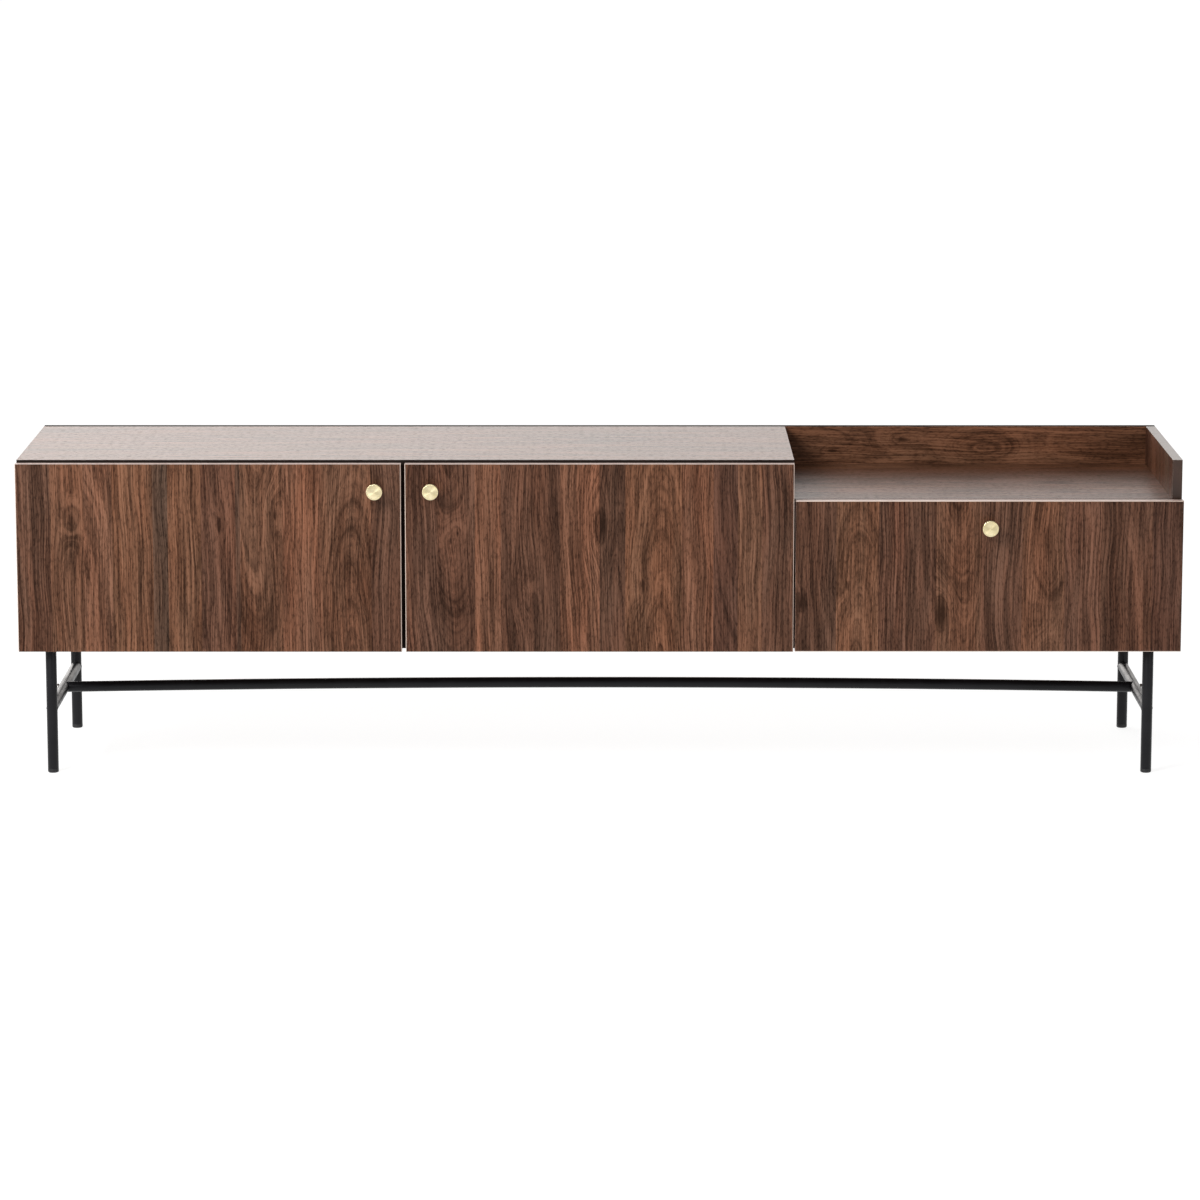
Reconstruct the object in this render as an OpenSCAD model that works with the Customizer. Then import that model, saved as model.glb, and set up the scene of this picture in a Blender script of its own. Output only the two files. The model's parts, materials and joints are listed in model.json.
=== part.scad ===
// Low cabinet on a tube frame: two side-hung doors, and a drop flap below an open tray.
// Millimetres. X runs along the front, Y from the doors to the back, Z up from the floor.
// The origin is on the floor, under the middle of the whole object.

/* [Overall] */
// Width over the doors
width = 1800; // [1600:10:2000]
// Depth from the doors' faces to the rear face
depth = 400; // [360:5:460]
// Height of the top surface above the floor
height = 494; // [460:1:540]
// Height of the open tray's floor above the room's floor
tray_h = 433; // [400:1:440]

/* [Panels] */
// Thickness of the cabinet's panels
board_t = 15; // [15:1:18]
// Thickness of the doors and the flap
front_t = 16; // [16:1:18]
// Width of the left door
left_w = 594; // [560:1:600]
// Width of the middle door
middle_w = 600; // [560:1:600]
// Gap between the two doors
door_gap = 6; // [4:0.5:8]
// Gap between the middle door and the flap
flap_gap = 2.5; // [2.5:0.1:5]
// Height of the fronts' lower edge
front_z = 196.5; // [190:0.5:200]
// Step from the top surface down to the doors' upper edge
door_drop = 4; // [2:0.5:8]
// Space between the fronts' backs and the cabinet
front_clear = 3; // [3:0.5:4]
// Rounding of the fronts' edges
edge_r = 1.5; // [1:0.1:2]
// Diameter of the cable outlets
outlet_d = 60; // [40:5:80]

/* [Legs] */
// Outer diameter of the frame's tubes
tube_d = 17; // [15:1:19]
// Wall of the frame's tubes
tube_wall = 1.5; // [1:0.1:2]
// Distance from the middle to a leg's axis
leg_x = 853; // [700:1:860]
// Distance from the doors' faces to the front legs' axis
leg_front = 28.5; // [28:0.5:60]
// Height of the crossbars' axis
crossbar_z = 101.5; // [60:0.5:140]
// Rise of the arched stretcher at its middle
arch_rise = 7.4; // [4:0.1:12]
// Thickness of the mounting rails on the legs
rail_t = 4; // [3:1:4]

/* [Knobs] */
// Diameter of a knob
knob_d = 25; // [20:1:30]
// How far a knob stands out of its door
knob_out = 24; // [20:1:28]
// Distance of a knob's axis from the door's free and upper edges
knob_in = 40; // [30:1:60]

/* [Hinges] */
// Bore of the hinge cups
cup_d = 35; // [35:1:35]
// Distance of a door hinge's middle from the door's ends
hinge_in = 62; // [60:1:80]
// Distance of a flap hinge's middle from the flap's ends
flap_hinge_in = 110; // [100:1:160]

/* [Hidden] */
$fn = 64;
e = 0.01;

// Front to back
y_front = -(depth - knob_out) / 2;
y_case = y_front + front_t + front_clear;
y_rear = y_front + depth;
y_back = y_rear - board_t;
y_mid = y_front + depth / 2;

// Bottom to top
case_z = front_z + 2;
floor_z = case_z + board_t;
ceil_z = height - board_t;
tray_under = tray_h - board_t;
rail_z = case_z - rail_t;

// Left to right
half_w = width / 2;
case_x = half_w - 1;
side_in = case_x - board_t;
door_left_r = -half_w + left_w;
door_mid_l = door_left_r + door_gap;
door_mid_r = door_mid_l + middle_w;
flap_l = door_mid_r + flap_gap;
div_mid_x = (door_left_r + door_mid_l) / 2;
div_mid_l = div_mid_x - board_t / 2;
div_tray_l = door_mid_r - board_t;
bay_mid = (door_mid_r + side_in) / 2;

door_h = height - door_drop - front_z;
flap_h = tray_h - front_z;
flap_w = half_w - flap_l;

// Hinge, in the door's own axes: u in from the hinged edge, v back from the face
pin_u = 8;
pin_v = 7;
pin_r = 1.4;
fit = 0.05;
knuckle_r = 2.3;
arm_w = 12;
cup_u = 20.5;
cup_depth = 12.3;
cup_wall = 1;
cup_floor = 0.6;
cup_hollow = arm_w + 2;
flange_t = 0.8;
flange_r = 18.5;
wing_u = cup_u + 9.5;
wing_h = 22.5;
wing_r = 7;
nose_t = 2.4;
riser_u = 19.5;
arm_rise = 8;
channel_t = 1.2;
channel_w = 16;
channel_v = 24;
channel_end = 78;
plate_v = 56;
plate_t = 2;
plate_l = 34;
plate_h = 56;
plate_hole = 20;
block_w = 13;
block_l = 46;
screw_r = 2;
head_r = 4;
head_t = 2;
screw_clear = 0.1;

// Edge distance of the inner face that each hinge's plate is screwed to
inner_left = half_w - side_in;
inner_mid = board_t;
inner_flap = floor_z - front_z;

door_hinges = [front_z + hinge_in, front_z + door_h - hinge_in];
flap_hinges = [flap_l + flap_hinge_in, half_w - flap_hinge_in];

// Flap stays: the arm turns on pin F of the flap and slides over stud G of the cabinet.
// Both lie at the same distance from the flap's hinge pin, so the arm turns half as far as the flap.
stay_v = 17;
stay_up = 110;
stay_lag = 35;
stay_r = norm([stay_v, stay_up]);
stay_angle = atan2(stay_v, stay_up);
flap_open = 90;
arm_t = 2;
arm_half = 7;
stud_r = 3;
stay_pin_r = 2.5;
slot_from = 2 * stay_r * sin(stay_lag / 2);
slot_to = 2 * stay_r * sin((stay_lag + flap_open) / 2);
slot_r = stud_r + 0.5;
slot_spare = 1;
arm_gap = 6;
pin_y = y_front + pin_v;
pin_z = front_z + pin_u;
stay_f = [pin_y + stay_v, pin_z + stay_up];
stay_g = [pin_y + stay_r * sin(stay_angle + stay_lag), pin_z + stay_r * cos(stay_angle + stay_lag)];
bracket_t = 2;
bracket_w = 26;
bracket_h = 34;

// Fittings inside the boards
cam_r = 7.5;
cam_depth = 12;
cam_in = 24;
cam_bolt_r = 3;
cam_bolt_in = 11;
cam_bolt_l = cam_in - cam_r + cam_bolt_in;
dowel_r = 4;
dowel_l = 30;
dowel_in = 11;
cam_at = [y_case + 50, y_back - 50];
dowel_at = [y_case + 90, y_back - 90];

tube_r = tube_d / 2;
leg_rear = depth - leg_front;
glide_h = 6;
glide_round = 2;
glide_stem = 16;
rail_w = 30;
rail_over = 8.5;
rail_holes = [45, 150, 250, 355];
rail_screw_l = 14;
insert_l = 20;
bolt_r = 3;
bolt_head_r = 5;
bolt_head_t = 4;
bumper_r = 4.5;
bumper_t = front_clear - 0.3;
bumper_in = 8;
bumper_side = 20;
outlet_z = 300;
outlet_at = [(div_mid_l - side_in) / 2, (div_mid_l + board_t + div_tray_l) / 2, bay_mid];
grommet_wall = 2;
grommet_lip = 4;
grommet_lip_t = 1.5;
magnet = [46, 14, 12];
strike = [40, 2, 12];
catch_y = y_front + front_t + strike[1] + 0.3;
catch_screw_x = 16;

// ---------- colours ----------
module walnut() { color([0.42, 0.27, 0.21]) children(); }
module black_metal() { color([0.16, 0.16, 0.18]) children(); }
module nickel() { color([0.75, 0.75, 0.74]) children(); }
module brass() { color([0.88, 0.76, 0.48]) children(); }
module black_plastic() { color([0.12, 0.12, 0.12]) children(); }
module beech() { color([0.85, 0.7, 0.5]) children(); }
module clear_rubber() { color([0.85, 0.85, 0.82]) children(); }

// ---------- helpers ----------
// A block from its low corner to its high corner
module span(low, high) {
    translate(low) cube(high - low);
}

// A cylinder along +X or +Y
module rod_x(r, l) {
    rotate([0, 90, 0]) cylinder(r = r, h = l);
}

module rod_y(r, l) {
    rotate([-90, 0, 0]) cylinder(r = r, h = l);
}

// A rectangle with exact round corners, from (0, 0) to (w, h)
module round_rect(w, h, r) {
    translate([r, 0]) square([w - 2 * r, h]);
    translate([0, r]) square([w, h - 2 * r]);
    for (x = [r, w - r], y = [r, h - r])
        translate([x, y]) circle(r = r);
}

// Hinge axes (u, v, h) set onto each front: h is the height along the pin
module at_left(z) {
    translate([-half_w, y_front, z]) children();
}

module at_middle(z) {
    translate([door_mid_r, y_front, z]) mirror([1, 0, 0]) children();
}

module at_flap(x) {
    translate([x, y_front, front_z]) rotate([0, -90, 0]) children();
}

// ---------- concealed hinge ----------
module cup_hole() {
    translate([cup_u, front_t - cup_depth, 0]) rod_y((cup_d + screw_clear) / 2, cup_depth + e);
    for (h = [-wing_h, wing_h])
        translate([wing_u, front_t - 11, h]) rod_y(screw_r + screw_clear, 11 + e);
}

module cup_pin_hole(h) {
    translate([pin_u, pin_v, -h / 2]) cylinder(r = pin_r, h = h);
}

module cup() {
    pin_l = cup_hollow + 6;
    difference() {
        union() {
            translate([cup_u, front_t - cup_depth, 0]) rod_y(cup_d / 2, cup_depth);
            translate([cup_u, front_t, 0]) rod_y(flange_r, flange_t);
            translate([wing_u - wing_r, front_t, -wing_h]) cube([2 * wing_r, flange_t, 2 * wing_h]);
            for (h = [-wing_h, wing_h])
                translate([wing_u, front_t, h]) rod_y(wing_r, flange_t);
        }
        intersection() {
            translate([0, front_t - cup_depth + cup_floor, -cup_hollow / 2])
                cube([2 * cup_d, 2 * cup_depth, cup_hollow]);
            translate([cup_u, 0, 0]) rod_y(cup_d / 2 - cup_wall, 2 * front_t);
        }
        cup_pin_hole(pin_l);
        for (h = [-wing_h, wing_h])
            translate([wing_u, front_t - e, h]) rod_y(screw_r + screw_clear, 1);
    }
}

module hinge_pin() {
    pin_l = cup_hollow + 6;
    translate([pin_u, pin_v, -pin_l / 2]) cylinder(r = pin_r, h = pin_l);
}

// A pan-head screw whose head sits on the plane v and whose shank runs back to v - l
module screw_v(v, l) {
    translate([0, v, 0]) rod_y(head_r * 0.85, head_t);
    translate([0, v - l, 0]) rod_y(screw_r, l + e);
}

module cup_screws() {
    for (h = [-wing_h, wing_h])
        translate([wing_u, 0, h]) screw_v(front_t + flange_t, 10.5);
}

// Fixed arm: knuckle and nose inside the cup, then a channel over the plate
module hinge_arm(inner) {
    top_u = inner + arm_rise;
    difference() {
        union() {
            translate([0, 0, -arm_w / 2]) linear_extrude(arm_w) {
                translate([pin_u, pin_v]) circle(r = knuckle_r);
                translate([pin_u, pin_v - nose_t / 2]) square([top_u - pin_u, nose_t]);
                translate([riser_u, pin_v - nose_t / 2])
                    square([top_u - riser_u, channel_v + nose_t - pin_v]);
            }
            translate([top_u - 2, channel_v, -channel_w / 2]) cube([2, channel_end - channel_v, channel_w]);
            for (h = [-channel_w / 2, channel_w / 2 - channel_t])
                translate([top_u - arm_rise + 2.5, channel_v, h])
                    cube([arm_rise - 2.5, channel_end - channel_v, channel_t]);
        }
        translate([pin_u, pin_v, -arm_w]) cylinder(r = pin_r + fit, h = 2 * arm_w);
        for (v = [plate_v - 16, plate_v + 16])
            translate([top_u - 3, v, 0]) rod_x(screw_r + screw_clear, 4);
    }
}

// Plate screwed to the board, with the raised block that carries the arm
module hinge_plate(inner) {
    top_u = inner + arm_rise - 2;
    difference() {
        union() {
            translate([inner, plate_v - plate_l / 2, -plate_h / 2])
                rotate([90, 0, 90]) linear_extrude(plate_t) round_rect(plate_l, plate_h, 6);
            translate([inner, plate_v - block_l / 2, -block_w / 2]) cube([top_u - inner, block_l, block_w]);
        }
        for (h = [-plate_hole, plate_hole])
            translate([inner - e, plate_v, h]) rod_x(screw_r + screw_clear, plate_t + 1);
        for (v = [plate_v - 16, plate_v + 16])
            translate([inner - e, v, 0]) rod_x(screw_r, arm_rise);
    }
}

module plate_screw_holes(inner) {
    for (h = [-plate_hole, plate_hole])
        translate([inner - 10, plate_v, h]) rod_x(screw_r + screw_clear, 10 + e);
}

module plate_screws(inner) {
    for (h = [-plate_hole, plate_hole])
        translate([inner, plate_v, h]) {
            translate([-9, 0, 0]) rod_x(screw_r, 9 + plate_t + e);
            translate([plate_t, 0, 0]) rod_x(head_r * 0.85, head_t);
        }
}

module arm_screws(inner) {
    top_u = inner + arm_rise;
    for (v = [plate_v - 16, plate_v + 16])
        translate([top_u, v, 0]) {
            translate([-arm_rise + 2, 0, 0]) rod_x(screw_r, arm_rise - 2 + e);
            rod_x(head_r * 0.85, 1.5);
        }
}

// ---------- board joints ----------
// Joint of an upright's end, at height z; up is 1 when the other board lies above
module joint_z(x, z, up, what) {
    for (y = cam_at)
        translate([x, y, z]) mirror([0, 0, up < 0 ? 1 : 0]) {
            if (what == "cams") translate([board_t / 2 - cam_depth, 0, -cam_in]) rod_x(cam_r, cam_depth);
            if (what == "bolts") translate([0, 0, cam_r - cam_in]) cylinder(r = cam_bolt_r, h = cam_bolt_l);
            if (what == "holes") {
                translate([board_t / 2 - cam_depth, 0, -cam_in]) rod_x(cam_r + fit, cam_depth + e);
                translate([0, 0, cam_r - cam_in - 0.5])
                    cylinder(r = cam_bolt_r + screw_clear, h = cam_bolt_l + 0.5);
            }
        }
    for (y = dowel_at)
        translate([x, y, z]) mirror([0, 0, up < 0 ? 1 : 0]) {
            if (what == "dowels") translate([0, 0, dowel_in - dowel_l]) cylinder(r = dowel_r, h = dowel_l);
            if (what == "holes")
                translate([0, 0, dowel_in - dowel_l - 1]) cylinder(r = dowel_r + fit, h = dowel_l + 1);
        }
}

// Joint of a level board's end, at x; side is 1 when the other board lies to the right
module joint_x(x, z, side, what) {
    translate([x, 0, z]) mirror([side < 0 ? 1 : 0, 0, 0]) rotate([0, 90, 0]) joint_z(0, 0, 1, what);
}

module case_joints(what) {
    joint_z(-case_x + board_t / 2, ceil_z, 1, what);
    joint_z(div_mid_x, ceil_z, 1, what);
    joint_z(div_mid_x, floor_z, -1, what);
    joint_z(div_tray_l + board_t / 2, ceil_z, 1, what);
    joint_z(div_tray_l + board_t / 2, floor_z, -1, what);
    joint_x(-side_in, case_z + board_t / 2, -1, what);
    joint_x(side_in, case_z + board_t / 2, 1, what);
    joint_x(door_mid_r, tray_under + board_t / 2, -1, what);
    joint_x(side_in, tray_under + board_t / 2, 1, what);
}

// Screws through the back board: x, z of each
back_rows = [
    for (x = [-case_x + board_t / 2, div_mid_x, div_tray_l + board_t / 2, case_x - board_t / 2],
         z = [case_z + 60, ceil_z - 75]) [x, z],
    for (x = [-600, -150, 150, 450, 740]) [x, case_z + board_t / 2],
    for (x = [-750, -500, -150, 150]) [x, height - board_t / 2],
    for (x = [450, 740]) [x, tray_h - board_t / 2]
];
back_screw_l = 40;

module back_screw_holes() {
    for (p = back_rows)
        translate([p[0], y_rear - back_screw_l, p[1]]) {
            rod_y(screw_r + screw_clear, back_screw_l + e);
            translate([0, back_screw_l - head_t, 0]) rod_y(head_r + screw_clear, head_t + e);
        }
}

// ---------- cabinet boards ----------
module bottom_panel() {
    walnut() difference() {
        span([-side_in, y_case, case_z], [side_in, y_back, floor_z]);
        case_joints("holes");
        back_screw_holes();
        rail_screw_holes(screw_r + screw_clear);
        for (x = flap_hinges) at_flap(x) plate_screw_holes(inner_flap);
    }
}

module side_panel_left() {
    walnut() difference() {
        span([-case_x, y_case, case_z], [-side_in, y_back, ceil_z]);
        case_joints("holes");
        back_screw_holes();
        for (z = door_hinges) at_left(z) plate_screw_holes(inner_left);
    }
}

module side_panel_right() {
    walnut() difference() {
        span([side_in, y_case, case_z], [case_x, y_back, height]);
        case_joints("holes");
        back_screw_holes();
        translate([side_in - e, stay_g[0], stay_g[1]]) rod_x(screw_r + screw_clear, 10);
    }
}

module divider_mid() {
    walnut() difference() {
        span([div_mid_l, y_case, floor_z], [div_mid_l + board_t, y_back, ceil_z]);
        case_joints("holes");
        back_screw_holes();
    }
}

module divider_tray() {
    walnut() difference() {
        span([div_tray_l, y_case, floor_z], [door_mid_r, y_back, ceil_z]);
        case_joints("holes");
        back_screw_holes();
        for (z = door_hinges) at_middle(z) plate_screw_holes(inner_mid);
        translate([door_mid_r - 10, stay_g[0], stay_g[1]]) rod_x(screw_r + screw_clear, 10 + e);
    }
}

module top_panel() {
    walnut() difference() {
        span([-case_x, y_case, ceil_z], [door_mid_r, y_back, height]);
        case_joints("holes");
        back_screw_holes();
    }
}

module tray_panel() {
    walnut() difference() {
        span([door_mid_r, y_case, tray_under], [side_in, y_back, tray_h]);
        case_joints("holes");
        back_screw_holes();
        catch_screw_holes();
    }
}

module back_board() {
    walnut() difference() {
        span([-case_x, y_back, case_z], [case_x, y_rear, height]);
        back_screw_holes();
        for (x = outlet_at) {
            translate([x, y_back - e, outlet_z]) rod_y(outlet_d / 2 + fit, board_t + 2 * e);
            translate([x, y_rear - grommet_lip_t, outlet_z]) rod_y(outlet_d / 2 + grommet_lip + fit, board_t);
        }
    }
}

module cable_grommets() {
    black_plastic() for (x = outlet_at)
        translate([x, y_back, outlet_z]) difference() {
            union() {
                rod_y(outlet_d / 2, board_t);
                translate([0, board_t - grommet_lip_t, 0]) rod_y(outlet_d / 2 + grommet_lip, grommet_lip_t);
            }
            translate([0, -e, 0]) rod_y(outlet_d / 2 - grommet_wall, board_t + 2 * grommet_lip_t);
        }
}

module cam_locks() {
    nickel() case_joints("cams");
}

module cam_bolts() {
    nickel() case_joints("bolts");
}

module dowels() {
    beech() case_joints("dowels");
}

module back_screws() {
    nickel() for (p = back_rows)
        translate([p[0], y_rear - back_screw_l + 1, p[1]]) {
            rod_y(screw_r, back_screw_l - head_t);
            translate([0, back_screw_l - head_t - 1, 0]) rod_y(head_r, head_t);
        }
}

// ---------- leg frame ----------
module leg(x, v) {
    black_metal() translate([x, y_front + v, glide_h]) difference() {
        cylinder(r = tube_r, h = rail_z - glide_h);
        translate([0, 0, -e]) cylinder(r = tube_r - tube_wall, h = rail_z);
    }
}

module leg_front_left() { leg(-leg_x, leg_front); }
module leg_front_right() { leg(leg_x, leg_front); }
module leg_rear_left() { leg(-leg_x, leg_rear); }
module leg_rear_right() { leg(leg_x, leg_rear); }

module foot_glides() {
    black_plastic() for (x = [-leg_x, leg_x], v = [leg_front, leg_rear])
        translate([x, y_front + v, 0]) {
            rotate_extrude() {
                translate([0, glide_round]) square([tube_r, glide_h - glide_round]);
                square([tube_r - glide_round, glide_h]);
                intersection() {
                    translate([tube_r - glide_round, glide_round]) circle(r = glide_round);
                    square([tube_r, glide_h]);
                }
            }
            cylinder(r = tube_r - tube_wall - fit, h = glide_h + glide_stem);
        }
}

module mounting_rail(x) {
    black_metal() difference() {
        span([x - rail_w / 2, y_front + leg_front - rail_over, rail_z],
             [x + rail_w / 2, y_front + leg_rear + rail_over, case_z]);
        for (v = rail_holes)
            translate([x, y_front + v, rail_z - e]) cylinder(r = screw_r + 0.3, h = 2 * rail_t);
    }
}

module mounting_rail_left() { mounting_rail(-leg_x); }
module mounting_rail_right() { mounting_rail(leg_x); }

module rail_screw_holes(r) {
    for (x = [-leg_x, leg_x], v = rail_holes)
        translate([x, y_front + v, case_z - e]) cylinder(r = r, h = rail_screw_l - rail_t + 1);
}

module rail_screws() {
    nickel() for (x = [-leg_x, leg_x], v = rail_holes)
        translate([x, y_front + v, rail_z]) {
            cylinder(r = screw_r, h = rail_screw_l);
            translate([0, 0, -head_t]) cylinder(r = head_r, h = head_t);
        }
}

// Crossbar between a front and a rear leg, its ends cut to the legs' round sides
module crossbar(x) {
    black_metal() difference() {
        translate([x, y_front + leg_front, crossbar_z]) rod_y(tube_r, leg_rear - leg_front);
        for (v = [leg_front, leg_rear])
            translate([x, y_front + v, crossbar_z - tube_d]) cylinder(r = tube_r, h = 2 * tube_d);
        translate([x, y_front, crossbar_z]) rod_y(tube_r - tube_wall, depth);
        translate([x - tube_d, y_mid, crossbar_z]) rod_x(bolt_r + screw_clear, 2 * tube_d);
    }
}

module crossbar_left() { crossbar(-leg_x); }
module crossbar_right() { crossbar(leg_x); }

// Arched stretcher: a hollow tube whose rings follow a parabola, cut to the crossbars' round sides
arch_steps = 24;
ring_sides = 24;
function arch_z(x) = crossbar_z + arch_rise * (1 - pow(x / leg_x, 2));
function arch_points(r, half) = [
    for (i = [0 : arch_steps], k = [0 : ring_sides - 1])
        let (x = half * (2 * i / arch_steps - 1), a = 360 * k / ring_sides)
            [x, y_mid + r * cos(a), arch_z(x) + r * sin(a)]
];
arch_faces = concat(
    [[for (k = [0 : ring_sides - 1]) k]],
    [
        for (i = [0 : arch_steps - 1], k = [0 : ring_sides - 1])
            let (a = i * ring_sides, b = (k + 1) % ring_sides)
                [a + k, a + ring_sides + k, a + ring_sides + b, a + b]
    ],
    [[for (k = [ring_sides - 1 : -1 : 0]) arch_steps * ring_sides + k]]
);

module stretcher() {
    black_metal() difference() {
        polyhedron(points = arch_points(tube_r, leg_x), faces = arch_faces, convexity = 4);
        polyhedron(points = arch_points(tube_r - tube_wall, leg_x + 1), faces = arch_faces, convexity = 4);
        for (s = [-1, 1])
            translate([s * leg_x, y_mid - tube_d, crossbar_z]) rod_y(tube_r, 2 * tube_d);
    }
}

// Threaded inserts fixed in the stretcher's ends
module stretcher_inserts() {
    nickel() for (s = [-1, 1])
        translate([s * (leg_x - tube_r - 1), y_mid, crossbar_z]) mirror([s > 0 ? 1 : 0, 0, 0]) difference() {
            rod_x(tube_r - tube_wall - 0.6, insert_l);
            translate([-e, 0, 0]) rod_x(bolt_r, insert_l + 2 * e);
        }
}

module stretcher_bolts() {
    nickel() for (s = [-1, 1])
        translate([s * (leg_x + tube_r), y_mid, crossbar_z]) mirror([s < 0 ? 1 : 0, 0, 0])
            difference() {
                union() {
                    rod_x(bolt_head_r, bolt_head_t);
                    translate([-2 * tube_d, 0, 0]) rod_x(bolt_r, 2 * tube_d + e);
                }
                translate([bolt_head_t - 2.5, 0, 0]) rotate([0, 90, 0]) cylinder(r = 2.5, h = 3, $fn = 6);
            }
}

// ---------- hinge parts on the cabinet ----------
module hinge_arms_left() {
    nickel() for (z = door_hinges) at_left(z) hinge_arm(inner_left);
}

module hinge_arms_middle() {
    nickel() for (z = door_hinges) at_middle(z) hinge_arm(inner_mid);
}

module hinge_arms_flap() {
    nickel() for (x = flap_hinges) at_flap(x) hinge_arm(inner_flap);
}

module hinge_plates() {
    nickel() {
        for (z = door_hinges) at_left(z) hinge_plate(inner_left);
        for (z = door_hinges) at_middle(z) hinge_plate(inner_mid);
        for (x = flap_hinges) at_flap(x) hinge_plate(inner_flap);
    }
}

module hinge_plate_screws() {
    nickel() {
        for (z = door_hinges) at_left(z) plate_screws(inner_left);
        for (z = door_hinges) at_middle(z) plate_screws(inner_mid);
        for (x = flap_hinges) at_flap(x) plate_screws(inner_flap);
    }
}

module hinge_arm_screws() {
    nickel() {
        for (z = door_hinges) at_left(z) arm_screws(inner_left);
        for (z = door_hinges) at_middle(z) arm_screws(inner_mid);
        for (x = flap_hinges) at_flap(x) arm_screws(inner_flap);
    }
}

// ---------- fronts ----------
// A door, drawn from its hinged edge: w along u, with all four upright edges rounded
module door_blank(w) {
    linear_extrude(door_h) round_rect(w, front_t, edge_r);
}

module knob_screw_hole(x, z) {
    translate([x, y_front - e, z]) rod_y(screw_r + 0.25, front_t + 2 * e);
}

knob_left_at = [door_left_r - knob_in, front_z + door_h - knob_in];
knob_mid_at = [door_mid_l + knob_in, front_z + door_h - knob_in];
knob_flap_at = [(flap_l + half_w) / 2, front_z + flap_h - knob_in];

module door_left() {
    walnut() difference() {
        translate([-half_w, y_front, front_z]) door_blank(left_w);
        for (z = door_hinges) at_left(z) cup_hole();
        knob_screw_hole(knob_left_at[0], knob_left_at[1]);
    }
}

module door_middle() {
    walnut() difference() {
        translate([door_mid_l, y_front, front_z]) door_blank(middle_w);
        for (z = door_hinges) at_middle(z) cup_hole();
        knob_screw_hole(knob_mid_at[0], knob_mid_at[1]);
    }
}

module flap_panel() {
    walnut() difference() {
        translate([flap_l, y_front, front_z]) rotate([90, 0, 90]) linear_extrude(flap_w)
            round_rect(front_t, flap_h, edge_r);
        for (x = flap_hinges) at_flap(x) cup_hole();
        knob_screw_hole(knob_flap_at[0], knob_flap_at[1]);
        bracket_screws_at(screw_r + screw_clear);
        strike_screw_hole();
    }
}

module hinge_cups_left() {
    nickel() for (z = door_hinges) at_left(z) cup();
}

module hinge_cups_middle() {
    nickel() for (z = door_hinges) at_middle(z) cup();
}

module hinge_cups_flap() {
    nickel() for (x = flap_hinges) at_flap(x) cup();
}

module hinge_pins_left() {
    nickel() for (z = door_hinges) at_left(z) hinge_pin();
}

module hinge_pins_middle() {
    nickel() for (z = door_hinges) at_middle(z) hinge_pin();
}

module hinge_pins_flap() {
    nickel() for (x = flap_hinges) at_flap(x) hinge_pin();
}

module cup_screws_left() {
    nickel() for (z = door_hinges) at_left(z) cup_screws();
}

module cup_screws_middle() {
    nickel() for (z = door_hinges) at_middle(z) cup_screws();
}

module cup_screws_flap() {
    nickel() for (x = flap_hinges) at_flap(x) cup_screws();
}

// ---------- knobs ----------
knob_neck_r = 5;
knob_foot_r = 7;
knob_foot_t = 2;
knob_disc_t = 7;
knob_edge = 1;
knob_tap = 14;

module knob(x, z) {
    brass() translate([x, y_front, z]) rotate([90, 0, 0]) difference() {
        rotate_extrude() {
            square([knob_foot_r, knob_foot_t]);
            square([knob_neck_r, knob_out - 1]);
            translate([0, knob_out - knob_disc_t]) square([knob_d / 2 - knob_edge, knob_disc_t]);
            translate([0, knob_out - knob_disc_t + knob_edge])
                square([knob_d / 2, knob_disc_t - 2 * knob_edge]);
            for (h = [knob_out - knob_disc_t + knob_edge, knob_out - knob_edge])
                translate([knob_d / 2 - knob_edge, h]) circle(r = knob_edge);
        }
        translate([0, 0, -e]) cylinder(r = screw_r, h = knob_tap);
    }
}

module knob_left() { knob(knob_left_at[0], knob_left_at[1]); }
module knob_middle() { knob(knob_mid_at[0], knob_mid_at[1]); }
module knob_flap() { knob(knob_flap_at[0], knob_flap_at[1]); }

module knob_screw(x, z) {
    nickel() translate([x, y_front, z]) {
        translate([0, 1 - knob_tap, 0]) rod_y(screw_r, front_t + knob_tap - 1 + e);
        translate([0, front_t, 0]) rod_y(head_r, head_t);
    }
}

module knob_screw_left() { knob_screw(knob_left_at[0], knob_left_at[1]); }
module knob_screw_middle() { knob_screw(knob_mid_at[0], knob_mid_at[1]); }
module knob_screw_flap() { knob_screw(knob_flap_at[0], knob_flap_at[1]); }

// ---------- bumpers ----------
module bumper(x, z) {
    clear_rubber() translate([x, y_front + front_t, z]) rod_y(bumper_r, bumper_t);
}

bumper_zs = [floor_z - board_t / 2, front_z + door_h - bumper_in];

module bumpers_left() {
    for (z = bumper_zs) bumper(door_left_r - bumper_side, z);
}

module bumpers_middle() {
    for (z = bumper_zs) bumper(door_mid_l + bumper_side, z);
}

module bumpers_flap() {
    for (x = [flap_l + bumper_side, half_w - bumper_side]) bumper(x, tray_h - bumper_in);
}

// ---------- magnetic catch of the flap ----------
magnet_z = tray_under - magnet[2];

module catch_screw_holes() {
    for (dx = [-catch_screw_x, catch_screw_x])
        translate([bay_mid + dx, catch_y + magnet[1] / 2, tray_under - e])
            cylinder(r = screw_r + screw_clear, h = 9);
}

module catch_magnet() {
    black_plastic() difference() {
        translate([bay_mid - magnet[0] / 2, catch_y, magnet_z]) cube(magnet);
        for (dx = [-catch_screw_x, catch_screw_x])
            translate([bay_mid + dx, catch_y + magnet[1] / 2, magnet_z - e]) {
                cylinder(r = screw_r + screw_clear, h = magnet[2] + 2 * e);
                cylinder(r = head_r, h = head_t + e);
            }
    }
}

module catch_screws() {
    nickel() for (dx = [-catch_screw_x, catch_screw_x])
        translate([bay_mid + dx, catch_y + magnet[1] / 2, magnet_z]) {
            cylinder(r = head_r * 0.85, h = head_t);
            cylinder(r = screw_r, h = magnet[2] + 8);
        }
}

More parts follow.
